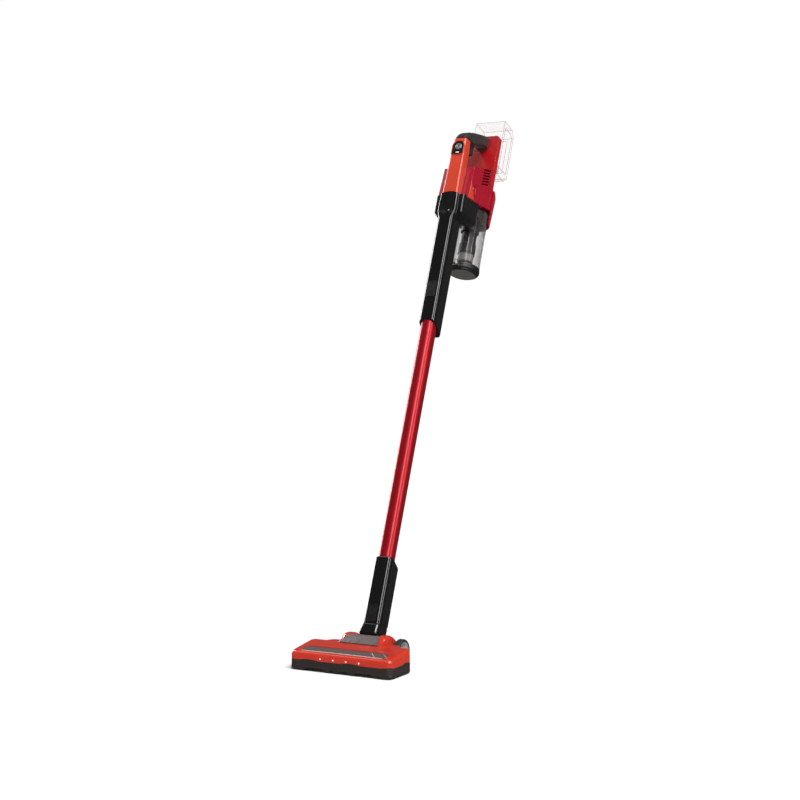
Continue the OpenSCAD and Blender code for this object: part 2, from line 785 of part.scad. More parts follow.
grip_side = [
    [-14, column_top],
    [column_back, column_top],
    [30, column_top - 2],
    [mount_front, 227],
    [mount_front, mount_high - 3],
    [92, mount_high - 5],
    [2, 216],
    [-6, 207],
    [-11, 200]
];
trigger_v = [30, 45];
trigger_u = [175, 202];
trigger_hw = 6;
trigger_travel = 4;
module grip() color([0.09, 0.09, 0.1]) on_hand() difference() {
    side_prism(grip_w / 2) polygon(grip_side);
    span([-trigger_hw - part_gap, trigger_v[0] - part_gap, column_top - 10],
         [trigger_hw + part_gap, trigger_v[1] + part_gap, trigger_u[1] + trigger_travel + part_gap]);
}
module trigger() color([0.05, 0.05, 0.05]) on_hand()
    span([-trigger_hw, trigger_v[0], trigger_u[0]], [trigger_hw, trigger_v[1], trigger_u[1]]);

// Battery mount, rails, terminals and pack.
module battery_mount() color([0.72, 0.06, 0.05]) on_hand() difference() {
    mount_plate();
    front_prism(mount_front + 3, mount_back + 1)
        translate([-battery_w / 2 + 18, battery_low + 6]) square([battery_w - 36, 60]);
}
module mount_plate() {
    front_prism(mount_front, mount_back) {
        translate([-battery_w / 2, mount_low + 4]) square([battery_w, mount_high - mount_low - 12]);
        translate([-battery_w / 2 + 8, mount_low + 4]) square([battery_w - 16, mount_high - mount_low - 4]);
        for (s = [-1, 1]) translate([s * (battery_w / 2 - 8), mount_high - 8]) circle(8);
    }
    both_sides()
        span([rail_x, mount_back - 1, battery_low + 4],
            [rail_x + rail_w, mount_back + rail_t, mount_high - 12]);
}
module battery_terminals() color([0.8, 0.7, 0.4]) on_hand() {
    for (x = [-12, -4, 4, 12])
        span([x - blade_t / 2, mount_front + 3, battery_low + 14],
            [x + blade_t / 2, mount_back + 5, battery_low + 30]);
}
module terminal_block() color([0.1, 0.1, 0.1]) on_hand() difference() {
    span([-battery_w / 2 + 18, mount_front + 3, battery_low + 6],
        [battery_w / 2 - 18, mount_back - 2, battery_low + 40]);
    for (x = [-12, -4, 4, 12])
        span([x - blade_t / 2, mount_front, battery_low + 14],
            [x + blade_t / 2, mount_back + 5, battery_low + 30]);
}
battery_v = mount_back + part_gap;
battery_side = [
    [battery_v, battery_low],
    [battery_v + battery_d - 14, battery_low],
    [battery_v + battery_d, battery_low + 14],
    [battery_v + battery_d, battery_low + battery_h - 16],
    [battery_v + battery_d - 12, battery_low + battery_h],
    [battery_v, battery_low + battery_h]
];
module battery_pack() color([0.85, 0.8, 0.8, 0.3]) on_hand() difference() {
    side_prism(battery_w / 2) polygon(battery_side);
    side_prism(battery_w / 2 - 2) polygon(inset(battery_side, 2));
    both_sides() span([rail_x - part_gap, battery_v - 1, battery_low - 1],
        [rail_x + rail_w + part_gap, mount_back + rail_t + part_gap, battery_low + battery_h - 6]);
    span([-16, battery_v - 1, battery_low - 1], [16, battery_v + 6, battery_low + battery_h - 30]);
    battery_button_space(part_gap);
}
module battery_button_space(d)
    span([-12 - d, battery_v + battery_d - 4, battery_low + 30 - d],
         [12 + d, battery_v + battery_d + 1, battery_low + 50 + d]);
module battery_button() color([0.85, 0.2, 0.2, 0.4]) on_hand() {
    span([-12, battery_v + battery_d - 2, battery_low + 30],
        [12, battery_v + battery_d + 0.6, battery_low + 50]);
}

// Dust bin.
module bin_shell() color([0.5, 0.48, 0.46, 0.4]) on_hand() difference() {
    union() {
        along_u(bin_r, bin_low, bin_top, 0, bin_v);
        along_x(lug_r, -lug_hw, lug_hw, lid_pin_v, lid_pin_u);
        span([-lug_hw, lid_pin_v - lug_r, lid_pin_u], [lug_hw, lid_pin_v + lug_r, bin_low + 8]);
        span([-lug_hw, lid_pin_v, bin_low], [lug_hw, bin_v - bin_r + 1, bin_low + 8]);
    }
    along_x(lid_pin_r, -lug_hw - 1, lug_hw + 1, lid_pin_v, lid_pin_u);
    along_u(bin_r - bin_wall, bin_low - 1, bin_top + 1, 0, bin_v);
    along_v(inlet_r, 0, bin_v, 0, inlet_u);
}
module filter_head() color([0.1, 0.1, 0.1]) on_hand() difference() {
    union() {
        along_u(bin_r - bin_wall, bin_top - filter_head_h + 6, bin_top, 0, bin_v);
        along_u(bin_r, bin_top, bin_top + cap_t, 0, bin_v);
        along_u(cone_r + 4, inlet_u - inlet_r - 3, bin_top, 0, bin_v);
    }
    along_u(cone_r - 4, cone_low, bin_top + 4, 0, bin_v);
}
module filter_cone() color([0.08, 0.08, 0.08]) on_hand() difference() {
    union() {
        along_u(cone_r, cone_low, inlet_u - inlet_r - 3, 0, bin_v);
        along_u(cone_r + 2.5, skirt_low, cone_low, 0, bin_v);
    }
    along_u(cone_r - 2, skirt_low + 2, inlet_u, 0, bin_v);
}
module filter_ring() color([0.4, 0.38, 0.36]) on_hand() difference() {
    along_u(cone_r + 1, skirt_low - 18, skirt_low, 0, bin_v);
    along_u(cone_r - 1, skirt_low - 19, skirt_low + 1, 0, bin_v);
}
module pleated_filter() color([0.85, 0.84, 0.8]) on_hand() difference() {
    along_u(cone_r - 5, skirt_low + 2, bin_top - 4, 0, bin_v);
    along_u(cone_r - 9, skirt_low + 4, bin_top, 0, bin_v);
}
module bin_seal() color([0.15, 0.15, 0.15]) on_hand() difference() {
    along_u(fan_r, bin_top + cap_t, bin_top + cap_t + seal_t, 0, bin_v);
    along_u(fan_r - 5, bin_top, bin_top + 5, 0, bin_v);
}
module bin_lid() color([0.3, 0.29, 0.28]) on_hand() difference() {
    union() {
        translate([0, bin_v, bin_low - lid_t]) rotate_extrude() polygon([
            [0, 0],
            [bin_r - 6, 0],
            [bin_r + 1, 7],
            [bin_r + 1, lid_t - part_gap],
            [0, lid_t - part_gap]
        ]);
        span([-lug_hw - 4, lid_pin_v - 3, bin_low - lid_t + 2],
            [lug_hw + 4, bin_v - bin_r + 4, bin_low - part_gap]);
    }
    along_u(bin_r - bin_wall, bin_low - lid_t + 2.5, bin_low + 1, 0, bin_v);
    along_x(lid_pin_r + run_gap, -far, far, lid_pin_v, lid_pin_u);
    span([-lug_hw - part_gap, lid_pin_v - 4, lid_pin_u - 5],
        [lug_hw + part_gap, lid_pin_v + lug_r + part_gap, bin_low + 1]);
}
module lid_pin() color("silver") on_hand()
    along_x(lid_pin_r, -lug_hw - 4, lug_hw + 4, lid_pin_v, lid_pin_u);

// Skirt that wraps the back of the bin and the housing, and the bin's release button.
module rear_skirt() color([0.58, 0.03, 0.06]) on_hand() difference() {
    translate([0, bin_v, 0]) rotate_extrude() polygon([
        [skirt_in, skirt_bottom],
        [skirt_out, skirt_bottom],
        [skirt_out + skirt_bulge, skirt_crest],
        [skirt_out, mount_low],
        [skirt_in, mount_low]
    ]);
    span([-far, -far, 0], [far, bin_v + 6, far]);
    side_prism(far) polygon([
        [mount_back - 2, rear_top(mount_back - 2) - 4],
        [bin_v + 60, rear_top(bin_v + 60) - 4],
        [bin_v + 60, far],
        [mount_back - 2, far]
    ]);
    span([-bin_button_hw - part_gap, bin_v, bin_button_u[0] - part_gap],
         [bin_button_hw + part_gap, far, bin_button_u[1] + part_gap]);
}
module bin_button() color([0.1, 0.1, 0.1]) on_hand()
    span([-bin_button_hw, bin_v + bin_r + bin_button_travel + part_gap, bin_button_u[0]],
         [bin_button_hw, bin_v + skirt_out + 2, bin_button_u[1]]);

base_plate();
bearing_blocks();
head_screws();
lint_strip();
roller_left();
roller_right();
brush_core();
brush_bristles();
brush_pulley();
motor_pulley();
motor_shaft();
drive_belt();
brush_motor();
suction_duct();
head_cover();
brush_window();
head_lights();
rear_cover();
hinge_panel();
carrier();
axle_pins();
wheel_hub_left();
wheel_hub_right();
wheel_tyre_left();
wheel_tyre_right();
elbow();
neck_shell();
neck_button();
neck_button_spring();
main_tube();
wire_conduit();
sleeve();
sleeve_button();
sleeve_button_spring();
inlet_seal();
housing_left();
housing_right();
motor_mount();
suction_motor();
fan();
handle_column();
display_panel();
power_button();
grip();
trigger();
battery_mount();
battery_terminals();
terminal_block();
battery_pack();
battery_button();
bin_shell();
filter_head();
filter_cone();
filter_ring();
pleated_filter();
bin_seal();
bin_lid();
lid_pin();
rear_skirt();
bin_button();
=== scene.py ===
"""Cordless upright vacuum cleaner: the visible pieces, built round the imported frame."""
from math import cos, dist, pi, radians, sin, sqrt

import bmesh
import bpy
from bpy.props import FloatProperty, FloatVectorProperty, IntProperty, PointerProperty
from mathutils import Matrix, Vector


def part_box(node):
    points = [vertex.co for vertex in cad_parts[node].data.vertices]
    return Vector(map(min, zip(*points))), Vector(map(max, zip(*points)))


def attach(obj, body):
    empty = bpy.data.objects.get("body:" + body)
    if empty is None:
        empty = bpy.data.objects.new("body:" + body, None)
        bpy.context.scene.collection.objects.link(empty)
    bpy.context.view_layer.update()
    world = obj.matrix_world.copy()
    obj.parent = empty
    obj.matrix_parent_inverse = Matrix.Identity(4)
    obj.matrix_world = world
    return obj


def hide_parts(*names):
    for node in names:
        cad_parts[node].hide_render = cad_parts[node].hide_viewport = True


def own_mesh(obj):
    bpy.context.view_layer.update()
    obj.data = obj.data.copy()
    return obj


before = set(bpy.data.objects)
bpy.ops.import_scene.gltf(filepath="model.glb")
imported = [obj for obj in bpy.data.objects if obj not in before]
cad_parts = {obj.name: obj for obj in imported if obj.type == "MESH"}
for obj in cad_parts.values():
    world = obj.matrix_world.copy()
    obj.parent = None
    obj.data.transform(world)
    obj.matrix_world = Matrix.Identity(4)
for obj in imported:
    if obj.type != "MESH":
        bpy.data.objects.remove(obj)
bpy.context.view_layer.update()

bl_info = {
    "name": "Upright vacuum cleaner",
    "version": (1, 0, 0),
    "blender": (4, 5, 0),
    "location": "3D View > Sidebar > Vacuum",
    "description": "Builds a cordless upright vacuum cleaner piece by piece round its packed frame",
    "category": "Object",
}

# Places in the shared frame. Each takes millimetres: on the floor, along the leaning stick from its pitch axis,
# in the hand unit that starts 950 mm up the stick, and round the dust bin's axis.
MM = Matrix.Scale(0.001, 4)
LEAN = radians(21.15)
PITCH_AXIS = (0, 0.083, 0.045)
HAND_START = 950
BIN_AXIS = 109
FLOOR = MM
STICK = Matrix.Translation(PITCH_AXIS) @ Matrix.Rotation(-LEAN, 4, "X") @ MM
HAND = STICK @ Matrix.Translation((0, 0, HAND_START))
BIN = HAND @ Matrix.Translation((0, BIN_AXIS, 0))
FORWARD = Matrix.Rotation(radians(90), 4, "X")


# ---------------------------------------------------------------- sizes and colours

def colour(name, text, value):
    return FloatVectorProperty(name=name, description=text, default=value, size=3, min=0, max=1,
                               subtype="COLOR")


def length(name, text, value, low=0.0, high=20.0):
    return FloatProperty(name=name, description=text, default=value, min=low, max=high)


class VacuumSizes(bpy.types.PropertyGroup):
    """Sizes of the detail on the pieces, in millimetres on the object."""
    shell_edge: length("Shell edge", "Rounding on the moulded shells' edges, in mm", 1.0)
    cover_round: length("Cover rounding", "Radius of the floor head cover's rim, in mm", 6.5)
    grip_round: length("Grip rounding", "Radius along the grip's edges, in mm", 7.5)
    shoulder_round: length("Shoulder rounding", "Radius on top of the shoulders beside the elbow, in mm", 8.0)
    window_corner: length("Window corner", "Corner radius of the brush window, in mm", 5.0)
    tuft_rows: IntProperty(name="Tuft rows", description="Rows of bristle tufts round the brush", default=6,
                           min=1, max=12)
    tufts: IntProperty(name="Tufts per row", description="Bristle tufts along each row", default=62, min=2,
                       max=200)
    brush_twist: FloatProperty(name="Brush twist", description="How far a row of tufts winds round the brush",
                               default=radians(150), subtype="ANGLE")
    tread_lugs: IntProperty(name="Tread lugs", description="Lugs round each tyre", default=36, min=3, max=90)
    pleats: IntProperty(name="Filter pleats", description="Pleats round the paper filter", default=28, min=3,
                        max=90)


class VacuumColours(bpy.types.PropertyGroup):
    """Base colours of the finishes."""
    cover: colour("Cover red", "Floor head cover", (0.57, 0.034, 0.017))
    column: colour("Column red", "Handle column", (0.60, 0.046, 0.017))
    housing: colour("Housing red", "Motor housing", (0.36, 0.0008, 0.016))
    mount: colour("Mount red", "Battery mount", (0.44, 0.010, 0.013))
    tube: colour("Tube red", "Coated wand tube", (0.40, 0.003, 0.010))
    gloss: colour("Gloss black", "Sleeve, neck and elbow", (0.0045, 0.004, 0.0045))
    matt: colour("Matt black", "Buttons and inner parts", (0.008, 0.008, 0.0085))
    rubber: colour("Grip black", "Soft grip", (0.0075, 0.0075, 0.008))
    base: colour("Base grey", "Lower half of the floor head", (0.030, 0.024, 0.021))
    panel: colour("Panel grey", "Panel ahead of the elbow", (0.105, 0.082, 0.078))
    lid: colour("Lid grey", "Dust bin lid", (0.075, 0.068, 0.062))
    smoke: colour("Smoke", "Clear dust bin", (0.13, 0.12, 0.115))
    tint: colour("Window tint", "Brush window", (0.170, 0.125, 0.118))
    ghost: colour("Clear battery", "Clear battery case", (0.92, 0.82, 0.82))


# ---------------------------------------------------------------- meshes

def shown(bm, name, place=FLOOR):
    """A scene object from a mesh in millimetres, put in its place in the shared frame."""
    bm.transform(place)
    bmesh.ops.remove_doubles(bm, verts=bm.verts, dist=1e-7)
    bmesh.ops.recalc_face_normals(bm, faces=bm.faces)
    mesh = bpy.data.meshes.new(name)
    bm.to_mesh(mesh)
    bm.free()
    piece = bpy.data.objects.new(name, mesh)
    bpy.context.scene.collection.objects.link(piece)
    return piece


def loft(rings, hoop=False):
    """A solid through rings of points, with a flat cap at each end, or a hoop whose last ring meets the first."""
    bm = bmesh.new()
    rows = [[bm.verts.new(p) for p in ring] for ring in rings]
    for low, high in zip(rows, rows[1:] + (rows[:1] if hoop else [])):
        for i in range(len(low)):
            j = (i + 1) % len(low)
            bm.faces.new((low[i], low[j], high[j], high[i]))
    if not hoop:
        bm.faces.new(rows[0][::-1])
        bm.faces.new(rows[-1])
    return bm


def around(count):
    """Angles in equal steps once round."""
    return [2 * pi * i / count for i in range(count)]


def lathe(profile, segments=96):
    """A solid of revolution round the third axis, from a closed outline of radius and height."""
    bm = bmesh.new()
    rows = []
    for r, u in profile:
        angles = around(segments) if r > 1e-6 else [0.0]
        rows.append([bm.verts.new((r * cos(a), r * sin(a), u)) for a in angles])
    for low, high in zip(rows, rows[1:] + rows[:1]):
        for i in range(segments):
            j = (i + 1) % segments
            corners = []
            for v in (low[i % len(low)], low[j % len(low)], high[j % len(high)], high[i % len(high)]):
                if v not in corners:
                    corners.append(v)
            if len(corners) > 2:
                bm.faces.new(corners)
    return bm


AXES = {
    "x": lambda a, b, c: (c, a, b),
    "v": lambda a, b, c: (a, c, b),
    "u": lambda a, b, c: (a, b, c),
}


def prism(points, low, high, axis="u"):
    put = AXES[axis]
    return loft([[put(a, b, c) for a, b in points] for c in (low, high)])


def block(low, high):
    (a, b, c), (d, e, f) = low, high
    return prism([(a, b), (d, b), (d, e), (a, e)], c, f)


def disc(r, low, high, axis="u", centre=(0, 0), segments=64):
    points = [(centre[0] + r * cos(a), centre[1] + r * sin(a)) for a in around(segments)]
    return prism(points, low, high, axis)


def rounded(hw, back, front, rb, rf, steps=8):
    """Outline of a rounded rectangle, symmetric about its second axis."""
    points = []
    for x, y, r, start in (
        (hw - rb, back - rb, rb, 0),
        (rb - hw, back - rb, rb, 90),
        (rf - hw, front + rf, rf, 180),
        (hw - rf, front + rf, rf, 270),
    ):
        for i in range(steps + 1):
            a = radians(start + 90 * i / steps)
            points.append((x + r * cos(a), y + r * sin(a)))
    return points


def at(points, u):
    """A flat outline as a ring at one height."""
    return [(x, v, u) for x, v in points]


def raised(points, u):
    """An outline moved along its second axis."""
    return [(a, b + u) for a, b in points]


def drop(*pieces):
    for piece in pieces:
        bpy.data.objects.remove(piece, do_unlink=True)


def settle(piece):
    """The piece's modifiers become plain mesh."""
    graph = bpy.context.evaluated_depsgraph_get()
    mesh = bpy.data.meshes.new_from_object(piece.evaluated_get(graph), depsgraph=graph)
    piece.modifiers.clear()
    piece.data = mesh
    return piece


def shape(piece, how, *tools):
    """Cut, join or intersect a piece with others, which are used up."""
    for tool in tools:
        step = piece.modifiers.new(how, "BOOLEAN")
        step.operation = how
        step.solver = "EXACT"
        step.object = tool
    settle(piece)
    drop(*tools)
    return piece


def cut(piece, *tools):
    return shape(piece, "DIFFERENCE", *tools)


def join(piece, *tools):
    return shape(piece, "UNION", *tools)


def ease(piece, width, segments=3, angle=32, clamp=False):
    """Round the piece's edges."""
    step = piece.modifiers.new("ease", "BEVEL")
    step.width = width * 0.001
    step.segments = segments
    step.limit_method = "ANGLE"
    step.angle_limit = radians(angle)
    step.use_clamp_overlap = clamp
    step.miter_outer = "MITER_ARC"
    return settle(piece)


def from_cad(node, name, width=0.4, segments=2, angle=32):
    """A welded copy of a CAD node with its edges rounded."""
    bm = bmesh.new()
    bm.from_mesh(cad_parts[node].data)
    bmesh.ops.remove_doubles(bm, verts=bm.verts, dist=2e-6)
    bmesh.ops.dissolve_limit(bm, angle_limit=radians(0.6), verts=bm.verts, edges=bm.edges)
    bm.transform(MM.inverted())
    piece = shown(bm, name)
    if width:
        ease(piece, width, segments, angle)
    return piece


def fit(piece, body, finish, stands_for=(), crease=38):
    """The piece gets its finish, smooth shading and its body."""
    piece.data.materials.clear()
    piece.data.materials.append(finish)
    piece.data.shade_smooth()
    piece.data.set_sharp_from_angle(angle=radians(crease))
    weigh = piece.modifiers.new("weigh", "WEIGHTED_NORMAL")
    weigh.keep_sharp = True
    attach(piece, body)
    if stands_for:
        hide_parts(*stands_for)
    return piece


def copied(node, name, body, finish, width=0.4, segments=2):
    """A CAD node's own form with its edges rounded, standing for that node."""
    return fit(from_cad(node, name, width, segments), body, finish, [node])


# ---------------------------------------------------------------- finishes

class Tree:
    """Short words for building a material's nodes."""

    def __init__(self, name):
        self.material = bpy.data.materials.new(name)
        self.material.use_nodes = True
        self.nodes = self.material.node_tree.nodes
        self.links = self.material.node_tree.links
        self.shader = self.nodes["Principled BSDF"]
        self.where = self.nodes.new("ShaderNodeTexCoord").outputs["Object"]

    def set(self, node, **values):
        for key, value in values.items():
            node.inputs[key.replace("_", " ")].default_value = value
        return node

    def wire(self, a, b):
        self.links.new(a, b)

    def turned(self, scale=(1, 1, 1), lean=True):
        """Object coordinates turned to the stick's axis and stretched."""
        turn = self.nodes.new("ShaderNodeMapping")
        turn.vector_type = "TEXTURE"
        if lean:
            turn.inputs["Rotation"].default_value = (-LEAN, 0, 0)
        turn.inputs["Scale"].default_value = scale
        self.wire(self.where, turn.inputs["Vector"])
        return turn.outputs["Vector"]

    def noise(self, scale, detail=3.0, vector=None, rough=0.55):
        node = self.nodes.new("ShaderNodeTexNoise")
        self.set(node, Scale=scale, Detail=detail, Roughness=rough)
        self.wire(vector or self.where, node.inputs["Vector"])
        return node.outputs["Fac"]

    def cells(self, scale, vector=None, feature="F1"):
        node = self.nodes.new("ShaderNodeTexVoronoi")
        node.feature = feature
        self.set(node, Scale=scale)
        self.wire(vector or self.where, node.inputs["Vector"])
        return node.outputs["Distance"]

    def span(self, value, low, high, start=0.3, end=0.7):
        node = self.nodes.new("ShaderNodeMapRange")
        for key, number in zip(("From Min", "From Max", "To Min", "To Max"), (start, end, low, high)):
            node.inputs[key].default_value = number
        self.wire(value, node.inputs["Value"])
        return node.outputs["Result"]

    def blend(self, factor, a, b):
        node = self.nodes.new("ShaderNodeMix")
        node.data_type = "RGBA"
        node.inputs[6].default_value = (*a, 1)
        node.inputs[7].default_value = (*b, 1)
        self.wire(factor, node.inputs[0])
        return node.outputs[2]

    def relief(self, height, depth, strength=1.0, under=None):
        node = self.nodes.new("ShaderNodeBump")
        self.set(node, Strength=strength, Distance=depth)
        self.wire(height, node.inputs["Height"])
        if under:
            self.wire(under, node.inputs["Normal"])
        return node.outputs["Normal"]


def tinted(value, by):
    return tuple(min(1.0, max(0.0, c * by)) for c in value)


def gloss(name, base, rough=0.16, coat=0.6, orange_peel=0.000012, mottle=0.05, shine=0.5):
    """Polished moulded plastic: faint flow marks, fine hairline scuffs and orange peel."""
    t = Tree(name)
    t.set(t.shader, Coat_Weight=coat, Coat_Roughness=0.06, Specular_IOR_Level=shine)
    t.wire(t.blend(t.noise(28, 4), tinted(base, 1 - mottle), tinted(base, 1 + mottle)),
           t.shader.inputs["Base Color"])
    scuffs = t.noise(70, 3, t.turned((1.0, 1.0, 2.0)), 0.5)
    t.wire(t.span(scuffs, rough - 0.02, rough + 0.04, 0.42, 0.68), t.shader.inputs["Roughness"])
    t.wire(t.relief(t.noise(420, 2), orange_peel), t.shader.inputs["Normal"])
    return t.material


def grained(name, base, rough=0.45, depth=0.00006, scale=1500, mottle=0.10, coat=0.0, sheen=0.0):
    """Spark-eroded plastic or rubber: a fine cell grain over a soft mottle."""
    t = Tree(name)
    t.set(t.shader, Coat_Weight=coat, Coat_Roughness=0.2, Sheen_Weight=sheen)
    t.wire(t.blend(t.noise(45, 5), tinted(base, 1 - mottle), tinted(base, 1 + mottle)),
           t.shader.inputs["Base Color"])
    t.wire(t.span(t.noise(90, 5), rough - 0.06, rough + 0.08), t.shader.inputs["Roughness"])
    coarse = t.relief(t.cells(scale), depth)
    t.wire(t.relief(t.noise(scale * 2.5, 2), depth * 0.5, under=coarse), t.shader.inputs["Normal"])
    return t.material


def coated_metal(name, base):
    """Lacquered aluminium tube: drawn lines along it, metal flakes and a clear coat."""
    t = Tree(name)
    t.set(t.shader, Metallic=0.5, Coat_Weight=0.1, Coat_Roughness=0.12)
    flakes = t.cells(2600)
    t.wire(t.blend(t.span(flakes, 0, 1, 0.1, 0.6), tinted(base, 1.15), tinted(base, 0.82)),
           t.shader.inputs["Base Color"])
    lines = t.noise(1500, 3, t.turned((1, 1, 60)))
    t.wire(t.span(lines, 0.24, 0.36), t.shader.inputs["Roughness"])
    t.wire(t.relief(lines, 0.000012, 0.6), t.shader.inputs["Normal"])
    return t.material


def bare_metal(name, base, rough=0.28, along="X"):
    """Turned or drawn metal with fine lines round it."""
    t = Tree(name)
    t.set(t.shader, Metallic=1.0)
    stretch = (30, 1, 1) if along == "X" else (1, 1, 30)
    lines = t.noise(1800, 3, t.turned(stretch, lean=along != "X"))
    t.wire(t.blend(t.noise(60, 4), tinted(base, 0.85), tinted(base, 1.05)), t.shader.inputs["Base Color"])
    t.wire(t.span(lines, rough - 0.08, rough + 0.12), t.shader.inputs["Roughness"])
    t.wire(t.relief(lines, 0.00002), t.shader.inputs["Normal"])
    return t.material


def clear(name, base, face=0.2, rim=0.85, rough=0.06):
    """Clear plastic that thickens in tint towards its rims, with faint mould lines and smears."""
    t = Tree(name)
    t.set(t.shader, Coat_Weight=1.0, Coat_Roughness=0.03, Specular_IOR_Level=0.8)
    t.wire(t.blend(t.noise(40, 4), tinted(base, 0.9), tinted(base, 1.08)), t.shader.inputs["Base Color"])
    t.wire(t.span(t.noise(120, 6, t.turned((0.5, 0.5, 5))), rough - 0.03, rough + 0.10, 0.4, 0.7),
           t.shader.inputs["Roughness"])
    t.wire(t.relief(t.noise(300, 2), 0.00002), t.shader.inputs["Normal"])
    edge = t.nodes.new("ShaderNodeLayerWeight")
    edge.inputs["Blend"].default_value = 0.35
    t.wire(t.span(edge.outputs["Facing"], face, rim, 0.1, 0.95), t.shader.inputs["Alpha"])
    return t.material


def fibre(name, base, scale=900, rough=0.9):
    """Felt, bristle or paper: tangled fibres with sheen."""
    t = Tree(name)
    t.set(t.shader, Sheen_Weight=0.5, Sheen_Roughness=0.5)
    tangle = t.noise(scale, 8, t.turned((3, 1, 1), lean=False), 0.8)
    t.wire(t.blend(tangle, tinted(base, 0.65), tinted(base, 1.3)), t.shader.inputs["Base Color"])
    t.wire(t.span(tangle, rough - 0.1, rough + 0.05), t.shader.inputs["Roughness"])
    t.wire(t.relief(tangle, 0.0003), t.shader.inputs["Normal"])
    return t.material


def lit(name, base, strength):
    """Frosted lens with a light behind it."""
    t = Tree(name)
    t.set(t.shader, Roughness=0.3, Emission_Strength=strength, Coat_Weight=0.5)
    t.shader.inputs["Emission Color"].default_value = (*base, 1)
    rings = t.cells(900)
    t.wire(t.blend(rings, tinted(base, 1.0), tinted(base, 0.8)), t.shader.inputs["Base Color"])
    t.wire(t.relief(rings, 0.00008), t.shader.inputs["Normal"])
    return t.material


FINISHES = {}


def finishes():
    """Every finish, made once from the scene's colours."""
    if FINISHES:
        return FINISHES
    c = bpy.context.scene.vacuum_colours
    FINISHES.update({
        "cover": gloss("cover red plastic", c.cover, 0.20, 0.35, shine=0.4),
        "column": gloss("column red plastic", c.column, 0.20, 0.35, shine=0.4),
        "housing": gloss("housing red plastic", c.housing, 0.26, 0.15, shine=0.3),
        "mount": gloss("mount red plastic", c.mount, 0.22, 0.25, shine=0.35),
        "tube": coated_metal("coated tube", c.tube),
        "gloss": gloss("gloss black plastic", c.gloss, 0.13, 0.35),
        "matt": grained("matt black plastic", c.matt, 0.42),
        "rubber": grained("soft grip rubber", c.rubber, 0.48, 0.00010, 1100, sheen=0.1),
        "base": grained("base plastic", c.base, 0.40, 0.00008, 1300),
        "panel": grained("panel plastic", c.panel, 0.30, 0.00004, 1500, coat=0.3),
        "lid": grained("lid plastic", c.lid, 0.42, 0.00005, 1500),
        "tyre": grained("tyre rubber", (0.014, 0.014, 0.014), 0.62, 0.00015, 900),
        "seal": grained("seal rubber", (0.035, 0.034, 0.033), 0.60, 0.00008, 1200),
        "hub": gloss("hub plastic", (0.36, 0.34, 0.32), 0.28, 0.3),
        "pale": grained("pale plastic", (0.62, 0.60, 0.55), 0.38, 0.00004),
        "grey": grained("grey plastic", (0.28, 0.265, 0.25), 0.40, 0.00005),
        "screen": gloss("panel glass", (0.006, 0.006, 0.007), 0.08, 1.0),
        "smoke": clear("smoky bin", c.smoke, 0.10, 0.78),
        "window": clear("brush window", c.tint, 0.62, 0.88),
        "ghost": clear("clear battery case", c.ghost, 0.035, 0.22),
        "outline": clear("clear battery edge", (0.62, 0.25, 0.25), 0.45, 0.8),
        # The window bead's pale colour is a painted highlight, standing for the bright reflection line along the
        # window's front edge.
        "bead": clear("window painted highlight bead", (0.80, 0.74, 0.70), 0.55, 0.85),
        "steel": bare_metal("steel", (0.58, 0.57, 0.55)),
        "stick steel": bare_metal("drawn steel", (0.58, 0.57, 0.55), along="u"),
        "can": bare_metal("motor can", (0.50, 0.50, 0.52), 0.35),
        "brass": bare_metal("terminal brass", (0.72, 0.52, 0.22), 0.25, along="u"),
        "silver": bare_metal("silver trim", (0.46, 0.46, 0.47), 0.34, along="u"),
        "felt": fibre("felt strip", (0.36, 0.02, 0.02)),
        "bristle": fibre("bristle fibre", (0.42, 0.02, 0.02), 1600, 0.7),
        "paper": fibre("filter paper", (0.78, 0.76, 0.70), 700),
        "light": lit("light lens", (1.0, 0.96, 0.90), 0.55),
        "mark": lit("panel mark", (0.9, 0.95, 1.0), 0.45),
    })
    return FINISHES


# ---------------------------------------------------------------- repeated detail

def node_tree(name, sizes):
    """An empty Geometry Nodes tree with a geometry input and named numbers."""
    tree = bpy.data.node_groups.new(name, "GeometryNodeTree")
    tree.interface.new_socket("Geometry", in_out="INPUT", socket_type="NodeSocketGeometry")
    kinds = {int: "NodeSocketInt", float: "NodeSocketFloat", tuple: "NodeSocketVector"}
    for key, value in sizes.items():
        socket = tree.interface.new_socket(key, in_out="INPUT", socket_type=kinds[type(value)])
        socket.default_value = value
    tree.interface.new_socket("Geometry", in_out="OUTPUT", socket_type="NodeSocketGeometry")
    return tree, tree.nodes.new("NodeGroupInput"), tree.nodes.new("NodeGroupOutput")


def link(tree, *wires):
    """Wires from one node's output to another's input."""
    for a, output, b, given in wires:
        tree.links.new(a.outputs[output], b.inputs[given])


def close_tree(tree, out, instances, finish):
    """Instances become real mesh with the finish on it."""
    real = tree.nodes.new("GeometryNodeRealizeInstances")
    paint = tree.nodes.new("GeometryNodeSetMaterial")
    paint.inputs["Material"].default_value = finish
    tree.links.new(instances, real.inputs["Geometry"])
    link(tree, (real, "Geometry", paint, "Geometry"), (paint, "Geometry", out, "Geometry"))


def grown(name, host, tree, sizes):
    """A new piece grown by a tree on a host mesh. Its inputs are set by their identifiers."""
    step = host.modifiers.new(name, "NODES")
    step.node_group = tree
    for item in tree.interface.items_tree:
        if item.in_out == "INPUT" and item.name in sizes:
            step[item.identifier] = sizes[item.name]
    settle(host)
    host.name = name
    host.data.name = name
    return host


def spots(name, points):
    """A bare set of points, each with a direction, for a tree to put shapes on."""
    mesh = bpy.data.meshes.new(name)
    mesh.from_pydata([p for p, _ in points], [], [])
    facing = mesh.attributes.new("facing", "FLOAT_VECTOR", "POINT")
    for i, (_, direction) in enumerate(points):
        facing.data[i].vector = direction
    host = bpy.data.objects.new(name, mesh)
    bpy.context.scene.collection.objects.link(host)
    return host


